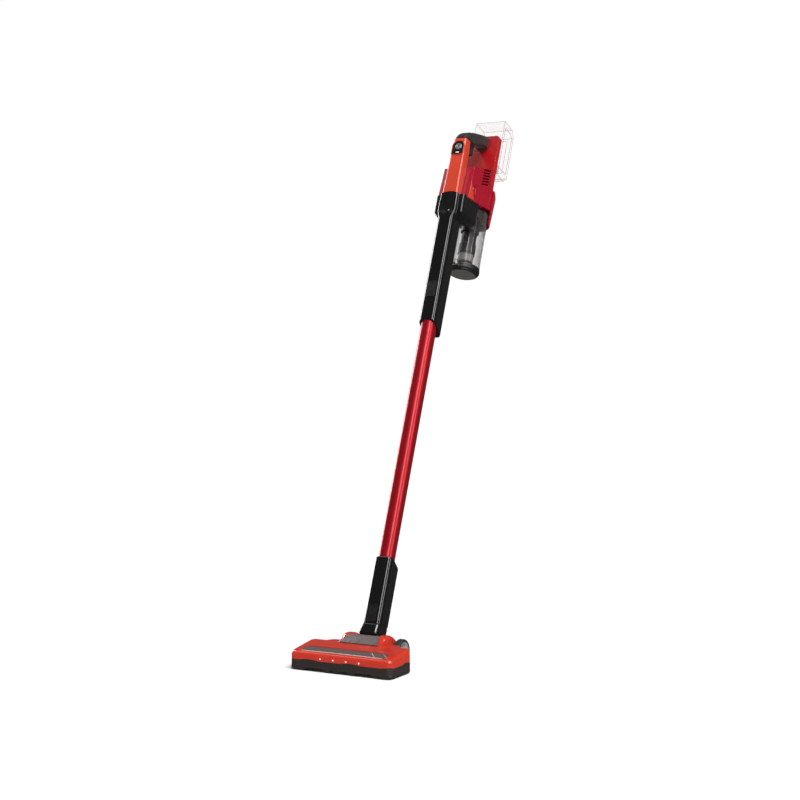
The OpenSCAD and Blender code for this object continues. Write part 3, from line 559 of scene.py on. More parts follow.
def studs(name, points, finish, sides, width, tip, height):
    """A row of tapered studs, tufts or ribs, one on each point, along its direction."""
    sizes = {"Sides": sides, "Foot radius": width, "Tip radius": tip, "Height": height}
    tree, given, out = node_tree(name, sizes)
    make = tree.nodes.new
    cone = make("GeometryNodeMeshCone")
    facing = make("GeometryNodeInputNamedAttribute")
    facing.data_type = "FLOAT_VECTOR"
    facing.inputs["Name"].default_value = "facing"
    turn = make("FunctionNodeAlignRotationToVector")
    turn.axis = "Z"
    place = make("GeometryNodeInstanceOnPoints")
    link(tree, (given, "Sides", cone, "Vertices"), (given, "Foot radius", cone, "Radius Bottom"),
         (given, "Tip radius", cone, "Radius Top"), (given, "Height", cone, "Depth"),
         (facing, "Attribute", turn, "Vector"), (given, "Geometry", place, "Points"),
         (cone, "Mesh", place, "Instance"), (turn, "Rotation", place, "Rotation"))
    close_tree(tree, out, place.outputs["Instances"], finish)
    return grown(name, spots(name, points), tree, sizes)


def outlined(name, piece, radius, finish, angle=25):
    """Thin round beads along a piece's sharp edges."""
    sizes = {"Radius": radius, "Angle": radians(angle)}
    tree, given, out = node_tree(name, sizes)
    make = tree.nodes.new
    angles = make("GeometryNodeInputMeshEdgeAngle")
    sharp = make("FunctionNodeCompare")
    sharp.data_type = "FLOAT"
    sharp.operation = "GREATER_THAN"
    curve = make("GeometryNodeMeshToCurve")
    ring = make("GeometryNodeCurvePrimitiveCircle")
    ring.inputs["Resolution"].default_value = 8
    tube = make("GeometryNodeCurveToMesh")
    tube.inputs["Fill Caps"].default_value = True
    link(tree, (angles, "Unsigned Angle", sharp, "A"), (given, "Angle", sharp, "B"),
         (given, "Geometry", curve, "Mesh"), (sharp, "Result", curve, "Selection"),
         (given, "Radius", ring, "Radius"), (curve, "Curve", tube, "Curve"),
         (ring, "Curve", tube, "Profile Curve"))
    close_tree(tree, out, tube.outputs["Mesh"], finish)
    return grown(name, piece, tree, sizes)


def on(place, x, v, u):
    return tuple(place @ Vector((x, v, u)))


def way(place, x, v, u):
    return tuple((place.to_3x3() @ Vector((x, v, u))).normalized())


def spot(place, point, direction):
    """A point for studs, with the direction they stand in."""
    return on(place, *point), way(place, *direction)


# ---------------------------------------------------------------- floor head

HEAD = (116, 42, -45, 12)
BAND_TOP = 21.5
WINDOW = (96, -10, -38.2)
# Where the pale bead runs along the window's front edge; its pale colour is a painted highlight.
HIGHLIGHT_BEAD_LINE = -37.6
LAMPS = (-44.25, -14.75, 14.75, 44.25)
LAMP_HEIGHT = 26.5
WHEEL_AXLE = (0.0525, 0.1, 0.026)


def cover_height(y):
    """The cover's top, low at the front and high at the rear."""
    return 46 + (y / 6 if y < 0 else y * 0.10)


def cover_solid(inset, down, rim):
    """The cover's form: rings that close in over a rounded rim, then across the top."""
    hw, back, front, corner = HEAD
    steps = [rim * (1 - cos(radians(a))) for a in range(0, 91, 10)]
    insets = steps + [rim + 2 + 3 * i for i in range(11)] + [42.8 - inset]
    rings = []
    for drop_to, d in [(BAND_TOP - down, 0.0)] + [(None, d) for d in insets]:
        w, b, f = hw - inset - d, back - inset - d, front + inset + d
        r = max(corner - inset - d, 0.4)
        ring = []
        for x, y in rounded(w, b, f, r, r):
            fall = rim - sqrt(max(0.0, rim ** 2 - (rim - min(d, rim)) ** 2))
            crown = 1.4 * (1 - (x / hw) ** 2)
            ring.append((x, y, drop_to if drop_to is not None else cover_height(y)
                         + crown - 1.4 - inset - fall))
        rings.append(ring)
    return loft(rings)


def window_pad(grow, corner):
    hw, back, front = WINDOW
    return shown(prism(rounded(hw + grow, back + grow, front - grow, corner, corner), 0, 90), "pad")


def merged(name, pieces):
    """Several pieces as one object."""
    bm = bmesh.new()
    for piece in pieces:
        bm.from_mesh(piece.data)
    drop(*pieces)
    return shown(bm, name, Matrix.Identity(4))


def lamp_row(name, profile, y):
    """The same turned form at each of the head's lamps."""
    row = [shown(lathe(profile, 24), "lamp_form") for _ in LAMPS]
    for form, x in zip(row, LAMPS):
        form.data.transform(Matrix.Translation((x * 0.001, y, LAMP_HEIGHT * 0.001)) @ FORWARD)
    return merged(name, row)


class VACUUM_OT_nozzle_cover(bpy.types.Operator):
    """Top cover of the floor head with its clear brush window and rim"""
    bl_idname = "vacuum.nozzle_cover"
    bl_label = "Nozzle cover and window"

    def execute(self, context):
        s, f = context.scene.vacuum_sizes, finishes()
        rim = s.cover_round
        corner = s.window_corner
        cover = cut(shown(cover_solid(0.2, 0, rim), "nozzle_cover"),
                    shown(cover_solid(2.5, 3, rim - 2), "inside"), window_pad(0, corner),
                    shown(block((-20.5, 33, 20), (20.5, 43, 40)), "notch"))
        lamps = [shown(disc(2.0, -50, -38, "v", (x, LAMP_HEIGHT), 32), "lamp") for x in LAMPS]
        fit(ease(cut(cover, *lamps), 0.35, 2, 40), "head", f["cover"], ["head_cover"])

        glass = shape(shown(cover_solid(0.5, 0, rim - 0.3), "brush_window_pane"), "INTERSECT",
                      window_pad(-0.15, corner))
        cut(glass, shown(cover_solid(2.3, 3, rim - 2), "inside"))
        fit(ease(glass, 0.3, 2, 40), "head", f["window"], ["brush_window"])

        trim = shape(shown(cover_solid(-0.5, 0, rim), "window_trim"), "INTERSECT",
                     window_pad(1.7, corner + 1.6))
        cut(trim, window_pad(-0.1, corner), shown(cover_solid(0.8, 3, rim - 0.6), "inside"))
        fit(ease(trim, 0.3, 3, 35), "head", f["cover"])

        # A thin pale bead along the window's front edge; its pale colour is a painted highlight for the
        # reflection line there.
        z = cover_height(HIGHLIGHT_BEAD_LINE) + 0.1
        ends = ((-93.4, 0.2), (-92.6, 0.8), (-91, 1), (-45, 1), (0, 1), (45, 1), (91, 1), (92.6, 0.8),
                (93.4, 0.2))
        bead = shown(loft([[(x, HIGHLIGHT_BEAD_LINE + cos(t) * k, z + 0.75 * sin(t) * k) for t in around(16)]
                           for x, k in ends]), "window_highlight_bead")
        for v in bead.data.vertices:
            v.co.z += 0.0012 * (1 - (v.co.x / 0.1158) ** 2) - 0.0012
        fit(bead, "head", f["bead"])

        comb = [spot(FLOOR, (-86 + 6.6 * i, -34.6, 30.5), (0, 0.35, 1)) for i in range(27)]
        fit(studs("window_comb", comb, f["matt"], 4, 0.0011, 0.0006, 0.0055), "head", f["matt"],
            crease=30)

        lens = lamp_row("front_lamps", [(0, -3), (1.6, -3), (1.6, 0.1), (1.2, 0.5), (0.6, 0.7), (0, 0.75)],
                        -0.0442)
        fit(lens, "head", f["light"], ["head_lights"])
        ring = lamp_row("lamp_rings", [(1.7, -1), (2.5, -1), (2.5, 0.25), (2.2, 0.45), (1.7, 0.25)], -0.0445)
        fit(ring, "head", f["cover"])
        return {"FINISHED"}


class VACUUM_OT_head_base(bpy.types.Operator):
    """Lower half of the floor head with its bumper, felt strip, duct, carrier and grey panel"""
    bl_idname = "vacuum.head_base"
    bl_label = "Floor head base"

    def execute(self, context):
        s, f = context.scene.vacuum_sizes, finishes()
        edge = s.shell_edge
        copied("base_plate", "base_lower", "head", f["base"], 0.25)

        hw, back, front, corner = HEAD

        def wave(x, y):
            along = x if abs(y - front) < 6 else 1.4 * y
            return BAND_TOP - 0.2 + 2.6 * sin(along / 15.0) * (1 if y < back - 8 else 0)
        outer = rounded(hw, back, front, corner, corner, 10)
        outer = [p for a, b in zip(outer, outer[1:] + outer[:1])
                 for p in [(a[0] + (b[0] - a[0]) * k / 24, a[1] + (b[1] - a[1]) * k / 24)
                           for k in range(24 if dist(a, b) > 30 else 1)]]

        def ring(inset, z):
            return [(x * (1 - inset / hw), y + (inset if y < 0 else -inset) * min(1, abs(y) / 30), z(x, y))
                    for x, y in outer]
        band = shown(loft([ring(0.1, lambda x, y: 17), ring(0.0, wave),
                           ring(0.5, lambda x, y: wave(x, y) + 0.5), ring(2.0, lambda x, y: wave(x, y) + 0.5),
                           ring(2.0, lambda x, y: 17)], hoop=True), "bumper_band")
        fit(band, "head", f["base"])

        bumps = []
        for x, half in ((-97, 15), (-6, 12), (24, 10), (98, 14)):
            bumps.append(shown(loft([at(rounded(half, 0.6, -5, 1.5, 3), -2.4),
                                     at(rounded(half + 1.6, 0.6, -5.6, 1.5, 3), 0),
                                     at(rounded(half + 1.2, 0.6, -5.2, 1.5, 3), 3)]), "bump"))
            bumps[-1].data.transform(Matrix.Translation((x * 0.001, -0.0385, 0.0051)))
        fit(ease(merged("bumper_feet", bumps), 0.5, 2), "head", f["base"])

        strip = shown(prism(rounded(98, 6, -6, 3, 3), 0, 3), "felt_strip")
        fit(ease(strip, 0.6), "head", f["felt"], ["lint_strip"])
        copied("suction_duct", "duct", "head", f["base"])
        copied("bearing_blocks", "brush_bearings", "head", f["matt"], 0.5)
        copied("carrier", "rear_carrier", "head", f["base"], edge)
        copied("axle_pins", "axles", "head", f["steel"])
        copied("head_screws", "base_screws", "head", f["steel"], 0.3)
        panel = shown(loft([[(x, y, z) for x, y, z in ((-w, y0, z0), (w, y0, z0), (w, y0 + 1.6, z0 - 2.6),
                                                       (-w, y0 + 1.6, z0 - 2.6))] for w, y0,
                            z0 in ((44.0, 28.6, 49.4), (44.6, 30.0, 50.4), (35.6, 50.5, 61.2),
                                   (34.4, 53.6, 62.6), (33.6, 56, 62.9))]), "elbow_panel")
        cut(panel, shown(prism([(41, 54.9), (43, 56.1), (42.7, 56.7), (40.7, 55.5)], -41, 41, "x"), "groove"))
        fit(ease(panel, 0.8, 3, 25), "head", f["panel"], ["hinge_panel"])
        return {"FINISHED"}


SHOULDER = ((30, 46.8), (33, 48.6), (38, 51.6), (44, 55.2), (49, 58.4), (53, 61.0), (57, 62.6), (63, 63.4),
            (70, 63.2), (78, 61.6), (86, 58.4), (94, 53.8), (101, 48), (105.6, 42), (107.6, 36))


class VACUUM_OT_shoulders(bpy.types.Operator):
    """Rounded shoulders beside the elbow, with the ledges ahead of the wheels"""
    bl_idname = "vacuum.shoulders"
    bl_label = "Rear shoulders"

    def execute(self, context):
        s, f = context.scene.vacuum_sizes, finishes()
        sides = []
        for side in (-1, 1):
            rings = []
            for y, top in SHOULDER:
                foot = 43 if y < 41.9 else 24
                r = min(s.shoulder_round, (top - foot) * 0.45, 10)
                outline = rounded(11, top, foot, r, 0.6, 8)
                wide = 1.0 + 0.22 * sin(pi * min(1.0, max(0.0, (y - 44) / 50)))
                rings.append([(side * (39 + x * (wide if x > 0 else 1)), y, z) for x, z in outline])
            hump = shown(loft(rings), "hump")
            ledge = shown(prism([(side * x, y) for x, y in ((45, 38), (86, 38), (85, 50), (78, 62),
                                                            (45, 68))], 24, 46.5), "ledge")
            ease(ledge, 3.0, 5, 40)
            seat = shown(disc(8, 49.4 * side, 55 * side, "x", (100, 26), 48), "seat")
            sides.append(cut(join(hump, ledge), seat))
        cover = merged("rear_shoulders", sides)
        join(cover, shown(block((-30, 42.1, 40.2), (30, 44.4, 48.4)), "bridge"))
        fit(ease(cover, 0.6, 3, 50), "head", f["cover"], ["rear_cover"])
        return {"FINISHED"}


class VACUUM_OT_brush_roll(bpy.types.Operator):
    """Brush roll with winding rows of tufts, its pulleys, belt, shaft and motor"""
    bl_idname = "vacuum.brush_roll"
    bl_label = "Brush roll and drive"

    def execute(self, context):
        s, f = context.scene.vacuum_sizes, finishes()
        low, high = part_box("brush_bristles")
        middle = (low + high) / 2
        copied("brush_core", "brush_tube", "brush_roll", f["matt"])
        points = []
        for row in range(s.tuft_rows):
            for i in range(s.tufts):
                t = i / (s.tufts - 1)
                turn = 2 * pi * row / s.tuft_rows + s.brush_twist * (t - 0.5)
                out = Vector((0, cos(turn), sin(turn)))
                where = Vector((low.x + 0.002 + t * (high.x - low.x - 0.004), middle.y,
                                middle.z)) + out * 0.0098
                points.append((tuple(where), tuple(out)))
        tufts = studs("bristle_tufts", points, f["bristle"], 6, 0.0009, 0.0014, 0.0051)
        fit(tufts, "brush_roll", f["bristle"], ["brush_bristles"], crease=60)
        copied("brush_pulley", "large_pulley", "brush_roll", f["pale"], 0.3)
        copied("motor_pulley", "small_pulley", "belt_drive", f["pale"], 0.3)
        copied("motor_shaft", "drive_shaft", "belt_drive", f["steel"], 0.2)
        copied("drive_belt", "toothed_belt", "head", f["seal"], 0.2)
        copied("brush_motor", "brush_motor_can", "head", f["can"], 0.6)
        return {"FINISHED"}


class VACUUM_OT_wheels(bpy.types.Operator):
    """Rear wheels with ribbed tyres and spoked hubs, and the small front rollers"""
    bl_idname = "vacuum.wheels"
    bl_label = "Wheels and rollers"

    def execute(self, context):
        s, f = context.scene.vacuum_sizes, finishes()
        x0, y0, z0 = WHEEL_AXLE
        for side, name in ((-1, "left"), (1, "right")):
            body = "wheel_" + name
            turn = Matrix.Translation((side * x0, y0, z0)) @ Matrix.Rotation(side * radians(90), 4, "Y") @ MM
            tyre = shown(lathe([(20.9, 0), (23.0, 0), (24.3, 0.5), (25.1, 1.6), (25.25, 3), (25.25, 11),
                                (25.1, 12.4), (24.3, 13.5), (23.0, 14), (22.2, 13.7), (21.6, 14), (20.9, 14)],
                               96), "tyre", turn)
            lugs = []
            for a in around(s.tread_lugs):
                out = Vector((0, cos(a), sin(a)))
                lugs += [(tuple(Vector((side * (x0 + x), y0, z0)) + out * 0.0251), tuple(out))
                         for x in (0.0042, 0.0098)]
            tread = studs("tread_" + name, lugs, f["tyre"], 4, 0.0021, 0.0016, 0.0008)
            tyre = merged("tyre_" + name, [tyre, tread])
            fit(tyre, body, f["tyre"], ["wheel_tyre_" + name])
            hub = shown(lathe([(4.06, 0), (20.9, 0), (20.9, 12.6), (20.2, 13.2), (19.2, 13.2), (18.6, 12.4),
                               (18.2, 10.6), (9.6, 9.4), (9.0, 10.4), (8.6, 13.4), (8.0, 13.9), (4.06, 13.9)],
                              96), "hub_" + name, turn)
            holes = []
            for i in range(6):
                a = radians(60 * i + 30)
                holes.append(shown(disc(2.9, -2, 18, "u", (14 * cos(a), 14 * sin(a)), 32), "hole", turn))
            spokes = [shown(prism([(9, -0.9), (18.6, -0.9), (18.6, 0.9), (9, 0.9)], 6, 12.0), "spoke",
                            turn @ Matrix.Rotation(radians(60 * i), 4, "Z")) for i in range(6)]
            hub = join(cut(hub, *holes), *spokes)
            fit(ease(hub, 0.3, 2, 40), body, f["hub"], ["wheel_hub_" + name])
            copied("roller_" + name, "roller_small_" + name, "roller_" + name, f["tyre"])
        return {"FINISHED"}


# ---------------------------------------------------------------- neck and tube

SHELL = (19.96, 26.46, -19.06)
NECK_BUTTON = 37
SLEEVE_BUTTON = 755
BUTTON_SEAT = 18


def shell_ring(u, grow=0.0, rb=8, rf=12):
    hw, back, front = SHELL
    return at(rounded(hw + grow, back + grow, front - grow, rb, rf), u)


def pocket(u0):
    return shown(block((-10.8, -20.5, u0 - 0.3), (10.8, -13.8, u0 + 36.3)), "pocket", STICK)


def release_button(name, body, node, u0, f):
    """A pad with a raised rim, cross ribs and a dished thumb rest."""
    outline = raised(rounded(10.5, 36, 0, 2.5, 2.5), u0)
    inner = raised(rounded(8.6, 34.1, 1.9, 2.0, 2.0), u0)
    dish = raised(rounded(6.6, 26, 12, 6.0, 6.0), u0)
    pad = shown(prism(outline, -20.06, -16.26, "v"), name, STICK)
    cut(pad, shown(prism(inner, -21, -19.36, "v"), "well", STICK))
    ribs = [shown(block((-6.5, -19.95, u0 + 5 + 2.6 * i), (6.5, -19.2, u0 + 6.1 + 2.6 * i)), "rib", STICK)
            for i in range(3)]
    boss = shown(prism(dish, -20.0, -19.2, "v"), "boss", STICK)
    cut(boss, shown(prism([(x * 0.82, u0 + 19 + (u - u0 - 19) * 0.82) for x, u in dish], -21, -19.7, "v"),
                    "thumb", STICK))
    join(pad, boss, *ribs)
    cut(pad, shown(disc(2.6, -18.06, -14, "v", (0, u0 + BUTTON_SEAT), 32), "seat", STICK))
    fit(ease(pad, 0.28, 2, 40), body, f["matt"], [node])


class VACUUM_OT_neck(bpy.types.Operator):
    """Elbow on the pitch pins and the neck shell above it, with its release button"""
    bl_idname = "vacuum.neck"
    bl_label = "Elbow and neck"

    def execute(self, context):
        f = finishes()
        rings = [shell_ring(33, -1.3), shell_ring(33.5, -0.5), shell_ring(34.6, 0)]
        rings += [shell_ring(u, g) for u, g in ((60, 0), (100, 0), (140, 0), (170.5, 0), (172.6, -0.7),
                                                (173.6, -1.6), (174, -2.2))]
        neck = shown(loft(rings), "neck", STICK)
        spigot = shown(lathe([(13, 14), (15, 14), (15, 36), (13, 36)], 64), "spigot", STICK)
        top = shown(prism([(-11, 174.05), (30, 153.2), (30, 176), (-11, 176)], -30, 30, "x"), "top", STICK)
        cut(neck, shown(disc(13, 30, 176, segments=96), "airway", STICK),
            shown(disc(17.56, 78, 176, segments=96), "bore", STICK), top, pocket(NECK_BUTTON))
        join(ease(neck, 0.4, 3, 40, clamp=True), spigot)
        fit(neck, "neck", f["gloss"], ["neck_shell"])
        release_button("neck_release", "neck_button", "neck_button", NECK_BUTTON, f)
        profile = ((3, 15.5, 15.0, -14.5), (6, 18.0, 16.5, -20.0), (9, 20.0, 18.5, -23.6),
                   (12, 20.9, 20.0, -24.9), (16, 21.0, 21.5, -24.6), (22, 20.5, 23.2, -22.6),
                   (27, 20.1, 24.2, -20.8), (31.4, 19.96, 24.4, -19.4), (32.4, 19.6, 24.0, -19.0),
                   (32.9, 19.0, 23.2, -18.4))
        foot = shown(loft([at(rounded(w, b, fr, 7, 7), u) for u, w, b, fr in profile]), "elbow_foot", STICK)
        barrel = shown(disc(16, -26, 26, "x", (0, 0), 96), "barrel", STICK)
        join(foot, ease(barrel, 1.2, 3))
        cut(foot, shown(disc(15.06, 13.7, 36, segments=72), "socket", STICK),
            shown(disc(12, 0, 34, segments=72), "airway", STICK),
            shown(disc(13, -22, 22, "x", segments=72), "hollow", STICK),
            shown(disc(5.06, -28, 28, "x", segments=48), "pins", STICK),
            shown(prism([(0, 0), (-30, 5), (-30, -30), (14, -30)], -20, 20, "x"), "mouth", STICK))
        fit(ease(foot, 0.3, 2, 50, clamp=True), "elbow", f["gloss"], ["elbow"])
        spring_coil("neck_spring", "neck", "neck_button_spring",
                    NECK_BUTTON + BUTTON_SEAT, f)
        return {"FINISHED"}


COIL_STEPS = 96
COIL_TURNS = 4
COIL_RADIUS = 1.9
COIL_WIRE = 0.35


def spring_coil(name, body, node, u, f):
    """A wound compression spring in the place of its stand-in sleeve."""
    points = []
    for i in range(COIL_STEPS + 1):
        a = 2 * pi * COIL_TURNS * i / COIL_STEPS
        points.append(Vector((COIL_RADIUS * cos(a), -17.4 + 3.0 * i / COIL_STEPS, u + COIL_RADIUS * sin(a))))
    bm = bmesh.new()
    rows = []
    for i, p in enumerate(points):
        ahead = (points[min(i + 1, COIL_STEPS)] - points[max(i - 1, 0)]).normalized()
        side = ahead.cross(Vector((0, 1, 0))).normalized()
        up = ahead.cross(side)
        rows.append([bm.verts.new(p + COIL_WIRE * (side * cos(t) + up * sin(t))) for t in around(8)])
    for low, high in zip(rows, rows[1:]):
        for i in range(8):
            bm.faces.new((low[i], low[(i + 1) % 8], high[(i + 1) % 8], high[i]))
    bm.faces.new(rows[0][::-1])
    bm.faces.new(rows[-1])
    coil = fit(shown(bm, name, STICK), body, f["stick steel"], [node])
    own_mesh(coil)


class VACUUM_OT_tube(bpy.types.Operator):
    """Coated wand tube with the wire conduit inside it"""
    bl_idname = "vacuum.tube"
    bl_label = "Wand tube"

    def execute(self, context):
        f = finishes()
        wall = [(17.5, 78.3), (17.5, 747.7), (17.3, 748), (16.5, 748), (16.3, 747.7), (16.3, 78.3),
                (16.5, 78), (17.3, 78)]
        fit(shown(lathe(wall, 128), "wand_tube", STICK), "tube", f["tube"], ["main_tube"])
        copied("wire_conduit", "conduit", "tube", f["matt"], 0.2)
        return {"FINISHED"}


# ---------------------------------------------------------------- hand unit

def under(v):
    """The sloping underside of the housing."""
    return 51 + (v - 2) * 0.2041


ARCH = [(x, 59.5 - 4.5 * (x / 21) ** 2 if abs(x) < 21.5 else 54.6) for x in range(-60, 61, 2)]


class VACUUM_OT_sleeve(bpy.types.Operator):
    """Gloss sleeve over the tube, flaring into the collar under the housing"""
    bl_idname = "vacuum.sleeve"
    bl_label = "Sleeve and collar"

    def execute(self, context):
        f = finishes()
        stem = shown(loft([shell_ring(u) for u in (675, 720, 780, 840, 900, 945)] + [
            at(rounded(hw, 26.46, fr, 8, rf), u) for u, hw, fr, rf in (
                (952, 20.2, -19.1, 8), (956, 20.9, -18.9, 7), (960, 21.9, -18.5, 6), (964, 22.6, -18.2, 5.5),
                (970, 22.9, -18.0, 5.2), (980, 22.6, -17.8, 5), (1015, 21.2, -17.4, 5))]), "sleeve", STICK)
        collar = shown(loft([at(rounded(w, b, fr, 9, 7), u) for u, w, b,
                             fr in ((948, 20.5, 28, -4), (951, 24, 36, -6), (955, 29, 48, -8),
                                    (959, 33, 60, -9.5), (963, 35.4, 67.5, -10.2), (967, 36, 70, -10.5),
                                    (985, 36, 70, -10.5), (1025, 36, 70, -10.5))]), "collar", STICK)
        join(stem, collar)
        top = shown(prism([(2, 51), (70, under(70)), (70, 110), (2, 110)], -60, 60, "x"), "top", HAND)
        arch = shown(prism(ARCH + [(60, 120), (-60, 120)], -60, 2.05, "v"), "arch", HAND)
        foot = shown(prism([(-30, 670), (40, 670), (27.46, 674.98), (-20.06, 702)], -40, 40, "x"), "foot",
                     STICK)
        cut(stem, top, arch, foot, shown(disc(13, 690, 991, segments=96), "airway", STICK),
            shown(disc(17.56, 660, 748, segments=96), "bore", STICK),
            shown(disc(11, 0, 90, "v", (0, 30), 64), "inlet", HAND), pocket(SLEEVE_BUTTON))
        fit(ease(stem, 0.8, 3, 38), "hand_unit", f["gloss"], ["sleeve"])
        release_button("sleeve_release", "sleeve_button", "sleeve_button", SLEEVE_BUTTON, f)
        spring_coil("sleeve_spring", "hand_unit", "sleeve_button_spring",
                    SLEEVE_BUTTON + BUTTON_SEAT, f)
        stud = shown(lathe([(0, 0), (1.7, 0), (1.7, 0.5), (1.2, 0.9), (0, 1.05)], 32), "sleeve_stud")
        stud.data.transform(STICK @ Matrix.Translation((6, -18.3, 962)) @ FORWARD @ Matrix.Scale(1000, 4))
        fit(stud, "hand_unit", f["silver"])
        copied("inlet_seal", "inlet_ring", "hand_unit", f["seal"], 0.3)
        return {"FINISHED"}


def housing_plan(hw):
    """The housing seen along the stick: square in front, round behind the bin's axis."""
    arc = [(hw * cos(radians(a)), BIN_AXIS + hw * sin(radians(a))) for a in range(0, 181, 4)]
    return [(-hw, 38 - hw), (hw, 38 - hw)] + arc


class VACUUM_OT_housing(bpy.types.Operator):
    """Motor housing halves with vents, facets and screws, and the skirt behind them"""
    bl_idname = "vacuum.housing"
    bl_label = "Motor housing"

    def execute(self, context):
        f = finishes()
        outer, inner = ((2, 51), (169, 85.1), (169, 88.6), (115, 128), (114, 129), (100, 129), (100, 168.6),
                        (9, 131)), ((5, 54.3), (166, 87.2), (166, 88.0), (113, 126.2), (97.4, 126.5),
                                    (97.4, 164.2), (11.5, 128.8))
        for side, name in ((-1, "left"), (1, "right")):
            half = shown(prism(housing_plan(38), 40, 180), "housing_" + name + "_half", HAND)
            shape(half, "INTERSECT", shown(prism(outer, -50, 50, "x"), "side", HAND))
            room = shown(prism(housing_plan(35.4), 40, 180), "room", HAND)
            shape(room, "INTERSECT", shown(prism(inner, -50, 50, "x"), "side", HAND))
            low, high = (side * 36.6, side * 45)
            well = shown(prism([(x + 24, y + 83) for x, y in rounded(8.5, 8, -8, 2, 2)], low, high, "x"),
                         "well", HAND)
            slots = []
            for i in range(6):
                slot = prism([(60, 0), (96, 0), (96, 3.2), (60, 3.2)], side * 30, high, "x")
                slots.append(shown(slot, "slot", HAND @ Matrix.Translation((0, 0, 88 + 7 * i))
                                   @ Matrix.Rotation(radians(22), 4, "X")))
            cut(half, room, well, shown(disc(19, 30, 83, segments=72), "intake", BIN),
                shown(block((-20.3, -30, 30), (20.3, 8, 200)), "column_gap", HAND),
                shown(block((min(0.1 * side, -60 * side), -60, 0), (max(0.1 * side, -60 * side), 200, 200)),
                      "other_half", HAND), *slots)
            fit(ease(half, 0.8, 3, 38), "hand_unit", f["housing"], ["housing_" + name])
        points = [spot(HAND, (side * 36.3, 24, 83), (side, 0, 0)) for side in (-1, 1)]
        fit(studs("housing_screws", points, f["can"], 24, 0.0026, 0.0022, 0.0011), "hand_unit",
            f["can"])
        plates = []
        for side in (-1, 1):
            plate = [[(side * x, v, u) for v, u in ((3.2 + d, 53.0 + d), (6.4 + d, 94 - 2 * d),
                                                    (31 - 2 * d, 57.8 + d))] for x,
                     d in ((37.5, 0), (38.3, 0), (38.9, 0.8))]
            plates.append(shown(loft(plate), "plate", HAND))
        fit(ease(merged("side_fairings", plates), 0.3, 2, 40), "hand_unit", f["column"])
        copied("rear_skirt", "skirt", "hand_unit", f["housing"], 0.9, 3)
        copied("bin_button", "bin_release", "bin_button", f["matt"], 0.8, 3)
        ribs = [spot(HAND, (2.4 * i, 151.9, 59), (0, 1, 0)) for i in (-2, -1, 0, 1, 2)]
        fit(studs("bin_release_ribs", ribs, f["matt"], 4, 0.0010, 0.0007, 0.0012), "bin_button",
            f["matt"])
        return {"FINISHED"}


PANEL_MIDDLE = 168
POWER_BUTTON = 173


class VACUUM_OT_column(bpy.types.Operator):
    """Handle column with the display panel, its ring button and its bar lamp"""
    bl_idname = "vacuum.column"
    bl_label = "Handle column and panel"

    def execute(self, context):
        f = finishes()
        rings = []
        for u in (55, 60, 80, 110, 140, 165, 180, 190, 194, 195):
            t = (u - 55) / 140
            hw = 19.96 - 2.96 * t
            front = -17.06 + 3.06 * t
            shrink = 0.0 if u < 190 else (0.8 if u < 195 else 2.0)
            rings.append(at(rounded(hw - shrink, 8, front + shrink, 0.5, 6.5, 10), u))
        column = shown(loft(rings), "handle_column_shell", HAND)
        panel = raised(rounded(13.8, 18.0, -15.3, 13.0, 3, 10), PANEL_MIDDLE)
        cut(column, shown(prism(ARCH + [(60, 20), (-60, 20)], -60, 1.95, "v"), "arch", HAND),
            shown(prism(panel, -30, -13.6, "v"), "recess", HAND),
            shown(disc(8.2, -20, 0, "v", (0, POWER_BUTTON), 48), "well", HAND))
        fit(ease(column, 0.5, 3, 40), "hand_unit", f["column"], ["handle_column"])

        rim_out = raised(rounded(15.2, 19.4, -16.7, 14.2, 4, 10), PANEL_MIDDLE)
        rim = shown(prism(rim_out, -16.4, -12, "v"), "panel_rim", HAND)
        cut(rim, shown(prism(panel, -30, 0, "v"), "inside", HAND))
        lean_rim = (HAND @ Matrix.Translation((0, 0, PANEL_MIDDLE)) @ Matrix.Rotation(radians(-1.25), 4, "X")
                    @ Matrix.Translation((0, 0, -PANEL_MIDDLE)))
        rim.data.transform(lean_rim @ HAND.inverted())
        fit(ease(rim, 0.5, 3, 40), "hand_unit", f["column"])

        glass = raised(rounded(13.5, 17.7, -15.0, 12.7, 2.8, 10), PANEL_MIDDLE)
        face = shown(prism(glass, -14.6, -8, "v"), "display_face", HAND)
        cut(face, shown(disc(7.9, -20, 0, "v", (0, POWER_BUTTON), 64), "hole", HAND))
        fit(ease(face, 0.5, 3, 40), "hand_unit", f["screen"], ["display_panel"])
        bar = shown(prism(raised(rounded(4.2, 0.9, -0.9, 0.85, 0.85, 6), 158.2), -14.75, -14.2, "v"),
                    "panel_bar", HAND)
        fit(bar, "hand_unit", f["mark"])

        turn = HAND @ Matrix.Translation((0, -12.0, POWER_BUTTON)) @ FORWARD
        knob = lathe([(0, 0), (7.5, 0), (7.5, 2.3), (7.1, 2.75), (6.5, 2.8), (6.2, 2.3), (5.5, 2.2),
                      (5.2, 2.75), (4.8, 2.85), (4.0, 2.5), (2.0, 2.2), (0, 2.15)], 96)
        fit(shown(knob, "power_ring", turn), "power_button", f["silver"], ["power_button"])
        cap = lathe([(0, 1.9), (4.3, 1.9), (4.3, 2.62), (3.8, 2.8), (0, 2.95)], 64)
        fit(shown(cap, "power_cap", turn), "power_button", f["screen"])
        marks = [spot(HAND, (2.6 * sin(a), -14.85, POWER_BUTTON + 2.6 * cos(a)), (0, -1, 0))
                 for a in [radians(40 + 280 * i / 14) for i in range(15)]]
        fit(studs("power_mark", marks, f["mark"], 8, 0.00035, 0.0003, 0.0003), "power_button",
            f["mark"])
        return {"FINISHED"}


GRIP = ((-14, 195), (-11.5, 199.5), (-6.5, 207), (1, 214.5), (8, 219.5), (30, 230), (60, 242.5), (88, 253.2),
        (94, 255.2), (100, 257.4), (100, 219), (92, 221.6), (84, 221.4), (70, 216.5), (45, 205.2),
        (32, 199.4), (26, 196.2), (8, 195))


